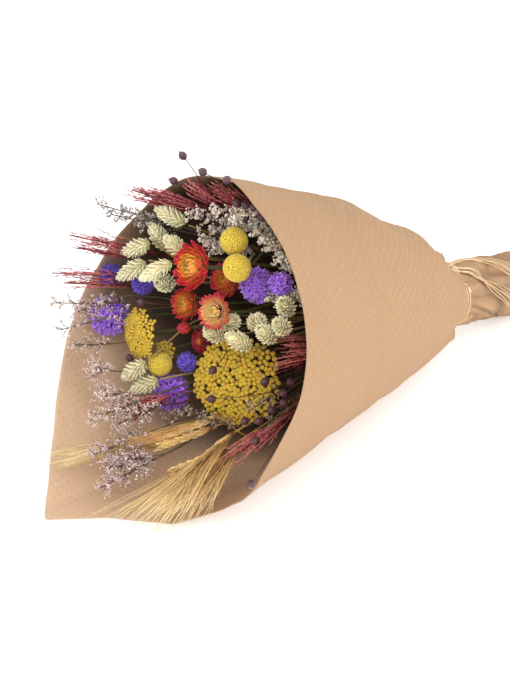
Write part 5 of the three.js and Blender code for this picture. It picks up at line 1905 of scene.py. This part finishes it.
def grid(turns: Array, low: Array, high: Array, rows: int) -> tuple[Array, Array]:
    """Turns and heights (rows, columns) of a sheet's points, in straight steps from edge to edge."""
    w = low + (high - low) * np.linspace(0, 1, rows)[:, None]
    return np.broadcast_to(turns, w.shape), w


def paper_wall(r: Array, phi: Array, w: Array, outside: Array, inside: Array) -> Skin:
    """A sheet of paper that goes round once and doesn't sink into the floor.

    Args:
        r, phi, w: Radius of its outer face, turn in degrees from up and height, of each point.
        outside, inside: Colours of its two faces.

    Returns:
        The sheet.
    """
    outer = PAPER.on_floor(polar(r, phi, w), FLOOR_GAP)
    inner = PAPER.on_floor(polar(r - SHEET, phi, w), SHEET + FLOOR_GAP)
    tints = np.stack([np.broadcast_to(outside, outer.shape), np.broadcast_to(inside, outer.shape)])
    skin = Skin()
    skin.add(np.stack([outer, inner]), wall_faces(*w.shape), tints)
    return skin


@dataclass(frozen=True)
class Wrapper:
    """The kraft sheet, rolled into a cone and gathered at the neck.

    The crease lists (turn, height) of the points of one long crease on the upper side.
    """

    columns: int = 340
    rows: int = 112
    outer: int = 0xAA8A6A
    inner: int = 0xD2B293
    crease: tuple = ((8, 342), (23, 366), (31, 371), (42, 373), (52, 366), (63, 348))

    def rim(self, phi: Array) -> Array:
        """Height of the free edge: the model's, rounded off except near the sheet's corner."""
        soft = 6.0 * smoothstep(np.abs((phi - 192 + 540) % 360 - 180), 4, 24) + 0.6
        steps = np.linspace(-1, 1, 9)
        weight = np.cos(steps * np.pi / 2) ** 2 + 1e-3
        return (PAPER.rim(phi[..., None] + steps * soft[..., None]) * weight).sum(-1) / weight.sum()

    def radius(self, phi: Array, w: Array) -> Array:
        """Radius of the outer face: the model's cone with ripples, pleats by the neck and a crease.

        Args:
            phi, w: Turn in degrees from up, and height along the bunch.

        Returns:
            The radius.
        """
        reach = np.radians(phi) * 95
        wide = ripples(reach, w, 5, 9, 90.0) * 1.1 + ripples(reach, w, 6, 12, 34.0) * 0.35
        gather = np.abs(ripples(phi * 2.2, w * 0.25, 7, 10, 26.0)) * 0.9 * (1 - smoothstep(w, 165, 262))
        bent = np.interp(phi % 360, *np.array(self.crease).T)
        stretch = smoothstep(phi % 360, 3, 14) - smoothstep(phi % 360, 55, 70)
        groove = np.exp(-(((w - bent) / 5.5) ** 2)) * stretch
        return PAPER.cone(phi, w) + wide * smoothstep(w, NECK, 240) + gather - 1.9 * groove

    def skin(self) -> tuple[Skin, Array, Array]:
        """The sheet's skin and, for each point, its turn and height, and how crisp the quilting is there.

        It is crisp towards the neck on the upper side, and flattened elsewhere and on the inside. The inner
        face's colour is darkened deep in the cone: painted shade, which reaches further towards the rim on
        the upper side and less far on the lower side.
        """
        turns = 360 - np.arange(self.columns) * 360 / self.columns
        low = NECK + 12 * np.maximum(0, np.cos(np.radians(turns - 65))) ** 1.5
        phi, w = grid(turns, low, self.rim(turns % 360), self.rows)
        # Painted shade: the inner face's colour is darkened, by up to 0.88, deep in the cone where the
        # flowers and paper shade it.
        shaded = (40 * smoothstep(np.cos(np.radians(phi - 300)), 0.5, 0.95)
                  - 60 * smoothstep(np.cos(np.radians(phi - 130)), 0.3, 0.9))
        deep = (1 - smoothstep(w - shaded, 380, 478))[..., None]
        inside = linear(self.inner) * (1 - 0.88 * deep)
        skin = paper_wall(self.radius(phi, w), phi, w, linear(self.outer), inside)
        near = (1 - smoothstep(w, 270, 390)) * (1 - smoothstep(np.abs((phi - 30 + 540) % 360 - 180), 32, 75))
        crisp = np.concatenate([(0.22 + 0.78 * near).ravel(), 0.10 + 0 * near.ravel()])
        return skin, np.concatenate([np.stack([phi, w], -1).reshape(-1, 2)] * 2), crisp

    def flat(self, phi: Array, w: Array) -> Array:
        """Place on the flat sheet, in metres, of the point of the cone at phi and w."""
        cone = math.atan(PAPER.slope)
        slant = (w - NECK + PAPER.neck_radius / PAPER.slope) / math.cos(cone)
        angle = np.radians(phi) * math.sin(cone)
        return np.stack([slant * np.sin(angle), slant * np.cos(angle)], -1) * 1e-3


@dataclass(frozen=True)
class Sleeve:
    """Crumpled paper wound tightly round the stems."""

    columns: int = 220
    rows: int = 150
    foot: float = 12.0
    top: float = 188.0
    colour: int = 0x9C7C5E
    fold: tuple = ((57, 158), (106, 109), (137, 89))

    def skin(self, bundle: float) -> Skin:
        """Builds the sleeve.

        Its creases are the valleys of the size of two fields of ripples, and one long fold that winds from
        the tie towards the floor. Its colour is darker in the fold and the valleys, painted shade, and
        lighter on the ridges, painted highlight, over the paper's own slight uneven tone.

        Args:
            bundle: Radius of the bundle of stems, as far as the paper may be pressed in.

        Returns:
            The sleeve.
        """
        turns = 360 - np.arange(self.columns) * 360 / self.columns
        phi, w = grid(turns, self.foot + 2.5 * np.sin(np.radians(3 * turns)), self.top, self.rows)
        reach = np.radians(phi) * 30
        broad, fine = np.abs(ripples(reach, w * 0.6, 21, 9, 36.0)), np.abs(ripples(reach, w, 22, 12, 17.0))
        bent = np.interp(w, *np.array(self.fold).T)
        off = ((phi - bent + 540) % 360 - 180) * math.pi / 180 * 30
        deep = np.exp(-((off / 2.2) ** 2)) * smoothstep(w, 50, 70) * (1 - smoothstep(w, 134, 150))
        rise = np.minimum(broad, 1.3) * 2.6 + np.minimum(fine, 1.2) * 0.9 - 1.0 - 1.4 * deep
        # Painted light: darker in the long fold and in the ripples' valleys (painted shade), lighter on their
        # ridges (painted highlight); the third field of ripples is the paper's own uneven tone.
        tone_and_painted_light = 0.86 + 0.10 * ripples(reach, w, 23, 8, 50.0) - 0.5 * deep + 0.30 * np.minimum(broad, 1.0)
        tone_and_painted_light -= 0.12 * np.exp(-((broad / 0.12) ** 2)) + 0.08 * np.exp(-((fine / 0.15) ** 2))
        tint = linear(self.colour) * tone_and_painted_light[..., None]
        return paper_wall(PAPER.sleeve(phi, w, bundle) + rise, phi, w, tint, tint * 0.8)


@dataclass(frozen=True)
class Raffia:
    """Raffia wound round the sleeve beside the wrapper's neck, knotted, with bundles of loose strands.

    The ends list (turn, height) of the points of each bundle's route.
    """

    height: float = 156.0
    turns: int = 5
    pitch: float = 2.3
    knot_at: float = 64.0
    knot: tuple[float, ...] = (3.0, 2.4)
    strands: int = 6
    ends: tuple = (
        ((9, 156), (1, 144), (-5, 126), (-2, 112), (7, 102), (14, 90), (25, 79), (42, 68)),
        ((16, 156), (16, 149), (20, 139), (24, 127), (35, 116), (54, 114), (65, 106), (76, 94), (93, 77)),
    )
    stops: tuple = ((0, 0xC8A980), (0.3, 0xDEC6A2), (0.7, 0xD0B28A), (1, 0xDEC6A2))

    def on_sleeve(self, phi: Array, w: Array, bundle: float, lift: float | Array) -> Array:
        """Points on the sleeve, lift above it."""
        return polar(PAPER.sleeve(phi, w, bundle) + 2.2 + lift, phi, w)

    def skin(self, bundle: float) -> Skin:
        """Builds the windings, the knot and the loose strands.

        Args:
            bundle: Radius of the bundle of stems, on which the sleeve's form depends.

        Returns:
            The tie.
        """
        skin, stops = Skin(9), self.stops
        turn = np.linspace(0, 360 * self.turns, 80 * self.turns)
        w = self.height - turn / 360 * self.pitch + 0.6 * np.sin(np.radians(turn * 0.7))
        lift = 0.3 + 0.3 * np.sin(np.radians(turn * 0.9))
        winding = self.on_sleeve(self.knot_at + turn, w, bundle, lift)
        skin.tubes(winding, np.ones(len(turn)), 6, stops, 0.0)
        loop = np.linspace(0, 2 * np.pi, 40)
        for k, size in enumerate(self.knot):
            phi = self.knot_at + 3.2 * np.cos(loop + k) * size / 3
            lift = 1.6 + 0.8 * np.sin(2 * loop + k)
            path = self.on_sleeve(phi, self.height - 6 + size * np.sin(loop), bundle, lift)
            skin.tubes(path, np.full(40, 0.85), 6, stops, 0.05)
        for route in self.ends:
            phi, w = soften(np.array(route, float), 6).T
            t = np.linspace(0, 1, len(phi))
            for k in range(self.strands):
                aside = (k - self.strands / 2) * 1.1 * (0.5 + t) + 0.9 * np.sin(5 * t + 2.1 * k)
                lift = 0.4 + 0.9 * t + 0.5 * (k % 3)
                path = self.on_sleeve(phi + aside * 2, w + aside * 0.8, bundle, lift)
                skin.tubes(path, np.linspace(0.62, 0.34, len(t)), 5, stops, 0.16)
        return skin


# ---- studio
@dataclass(frozen=True)
class Studio:
    """A wide pale floor, soft light from the upper left, and the reference picture's camera."""

    floor_half: float = 12.0
    glow: float = 0.30
    sky: float = 1.15
    key: float = 19.5
    fill: float = 15.0
    sensor: float = 36.0

    def floor(self) -> None:
        """Lays the floor under the bunch."""
        h = self.floor_half
        mesh = bpy.data.meshes.new("studio_floor")
        mesh.from_pydata([(-h, -h, 0), (h, -h, 0), (h, h, 0), (-h, h, 0)], [], [(0, 1, 2, 3)])
        material = bpy.data.materials.new("studio_white")
        material.use_nodes = True
        shader = material.node_tree.nodes["Principled BSDF"]
        shader.inputs["Base Color"].default_value = (0.90, 0.90, 0.90, 1)
        shader.inputs["Emission Color"].default_value = (1, 1, 1, 1)
        shader.inputs["Emission Strength"].default_value = self.glow
        shader.inputs["Roughness"].default_value = 0.9
        mesh.materials.append(material)
        plane = bpy.data.objects.new("studio_floor", mesh)
        bpy.context.scene.collection.objects.link(plane)

    def light(self, name: str, at: tuple[float, float, float], size: float, power: float) -> None:
        """Hangs a square soft light that looks at the bunch.

        Args:
            name: The light's name.
            at: Where it hangs, in metres.
            size: Length of its side.
            power: Its power in watts.
        """
        lamp = bpy.data.lights.new(name, "AREA")
        lamp.shape, lamp.size, lamp.energy = "SQUARE", size, power
        item = bpy.data.objects.new(name, lamp)
        item.location = at
        item.rotation_euler = (-item.location).to_track_quat("-Z", "Y").to_euler()
        bpy.context.scene.collection.objects.link(item)

    def camera(self, writer: Writer) -> None:
        """Sets up the camera at the reference picture's viewpoint.

        Args:
            writer: Knows the way from the bunch's frame to the model's.
        """
        data = bpy.data.cameras.new("photo_camera")
        data.sensor_width = self.sensor
        data.lens = VIEW.distance / VIEW.mm_per_pixel / VIEW.picture_height * self.sensor
        right, up, back = (writer.turn @ axis for axis in VIEW.axes())
        camera = bpy.data.objects.new("photo_camera", data)
        matrix = np.eye(4)
        matrix[:3] = np.stack([right, up, back, writer.place(VIEW.eye())], axis=1)
        camera.matrix_world = Matrix(matrix.tolist())
        bpy.context.scene.collection.objects.link(camera)
        bpy.context.scene.camera = camera

    def build(self, writer: Writer) -> None:
        """Builds the studio.

        Args:
            writer: Knows the way from the bunch's frame to the model's.
        """
        scene = bpy.context.scene
        world = bpy.data.worlds.new("soft_sky")
        world.use_nodes = True
        sky = world.node_tree.nodes["Background"].inputs
        sky["Color"].default_value = (1.0, 1.0, 1.0, 1)
        sky["Strength"].default_value = self.sky
        scene.world = world
        scene.view_settings.view_transform = "Standard"
        self.floor()
        self.light("key_light", (-1.1, -1.3, 1.6), 1.4, self.key)
        self.light("fill_light", (0.9, -1.8, 0.7), 1.8, self.fill)
        self.camera(writer)


# ---- the bouquet
class Bouquet:
    """Writes every piece of the bunch."""

    def __init__(self) -> None:
        """Lays out the bunch."""
        self.layout = BunchLayout()
        self.writer = Writer()

    def heads(self) -> None:
        """Writes the single heads."""
        straw, bud, globe_head, dome, cluster = Strawflower(), Bud(), Craspedia(), Yarrow(), Statice()
        for n, head in enumerate(self.layout.heads):
            turn, at, s = turn_to(head.axis), head.centre, head.size
            write, kind = self.writer.write, head.kind
            if kind is Kind.STRAWFLOWER:
                look, base = STRAWFLOWERS[head.name], at - head.axis * s * straw.dome_at
                outer = straw.rows(straw.outer_rows, s, look.outer, look.curl, n)
                inner = straw.rows(straw.inner_rows, s, look.inner, look.curl, n + 40)
                write(outer.moved(turn, base), f"{head.name}_outer_bracts", Slot.CRIMSON)
                write(inner.moved(turn, base), f"{head.name}_inner_bracts", Slot.ORANGE)
                write(straw.disc(s, look.disc, n).moved(turn, base), f"{head.name}_disc", Slot.DISC)
            elif kind is Kind.BUD:
                write(bud.skin(s, n).moved(turn, at - head.axis * s), head.name, Slot.CRIMSON)
            elif kind is Kind.CRASPEDIA:
                write(globe_head.skin(s, n).moved(turn, at), head.name, Slot.CRASPEDIA)
            elif kind is Kind.YARROW:
                write(dome.skin(s, n).moved(turn, at), head.name, Slot.YARROW)
            else:
                dark = head.name in cluster.dark_heads
                slot = Slot.DARK_STATICE if dark else Slot.STATICE
                write(cluster.skin(s, n, dark, head.name == cluster.head_with_eyes).moved(turn, at),
                      head.name, slot)

    def sprays(self) -> None:
        """Writes the sprays."""
        panicle = Panicle()
        makers = {Kind.CANARY: (Canary(), Slot.CANARY), Kind.FLAX: (Flax(), Slot.FLAX),
                  Kind.RED: (RedGrass(), Slot.RED), Kind.LAVENDER: (panicle, Slot.LAVENDER),
                  Kind.CREAM: (panicle, Slot.CREAM), Kind.BARLEY: (Barley(), Slot.BARLEY)}
        for spray in self.layout.sprays:
            maker, slot = makers[spray.kind]
            self.writer.write(maker.skin(spray), spray.node, slot)

    def wrapping(self) -> None:
        """Writes the paper and the tie."""
        wrapper = Wrapper()
        skin, place, crisp = wrapper.skin()
        sheet = self.writer.write(skin, "kraft_wrapper", Slot.KRAFT)
        inside = np.repeat(np.array([0, 1], np.float32), len(place) // 2)
        for name, values in (("inside", inside), ("crisp", crisp.astype(np.float32))):
            sheet.data.attributes.new(name, "FLOAT", "POINT").data.foreach_set("value", values)
        layer = sheet.data.uv_layers.new(name="sheet")
        corner = np.empty(len(sheet.data.loops), np.int32)
        sheet.data.loops.foreach_get("vertex_index", corner)
        spots = place[corner].reshape(-1, 3, 2)
        spots[np.ptp(spots[..., 0], axis=1) > 180, :, 0] %= 360
        layer.data.foreach_set("uv", wrapper.flat(spots[..., 0], spots[..., 1]).astype(np.float32).ravel())
        self.writer.write(Sleeve().skin(self.layout.bundle), "stem_sleeve", Slot.SLEEVE)
        self.writer.write(Raffia().skin(self.layout.bundle), "raffia_tie", Slot.RAFFIA)

    def build(self) -> None:
        """Writes everything."""
        self.heads()
        self.sprays()
        self.writer.write(Stems().skin(self.layout), "flower_stems", Slot.STEM)
        self.wrapping()


def main() -> None:
    """Builds the bouquet and its studio."""
    logging.basicConfig(level=logging.INFO, format="%(name)s: %(message)s")
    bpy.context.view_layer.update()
    bouquet = Bouquet()
    bouquet.build()
    Studio().build(bouquet.writer)


if __name__ == "__main__":
    main()
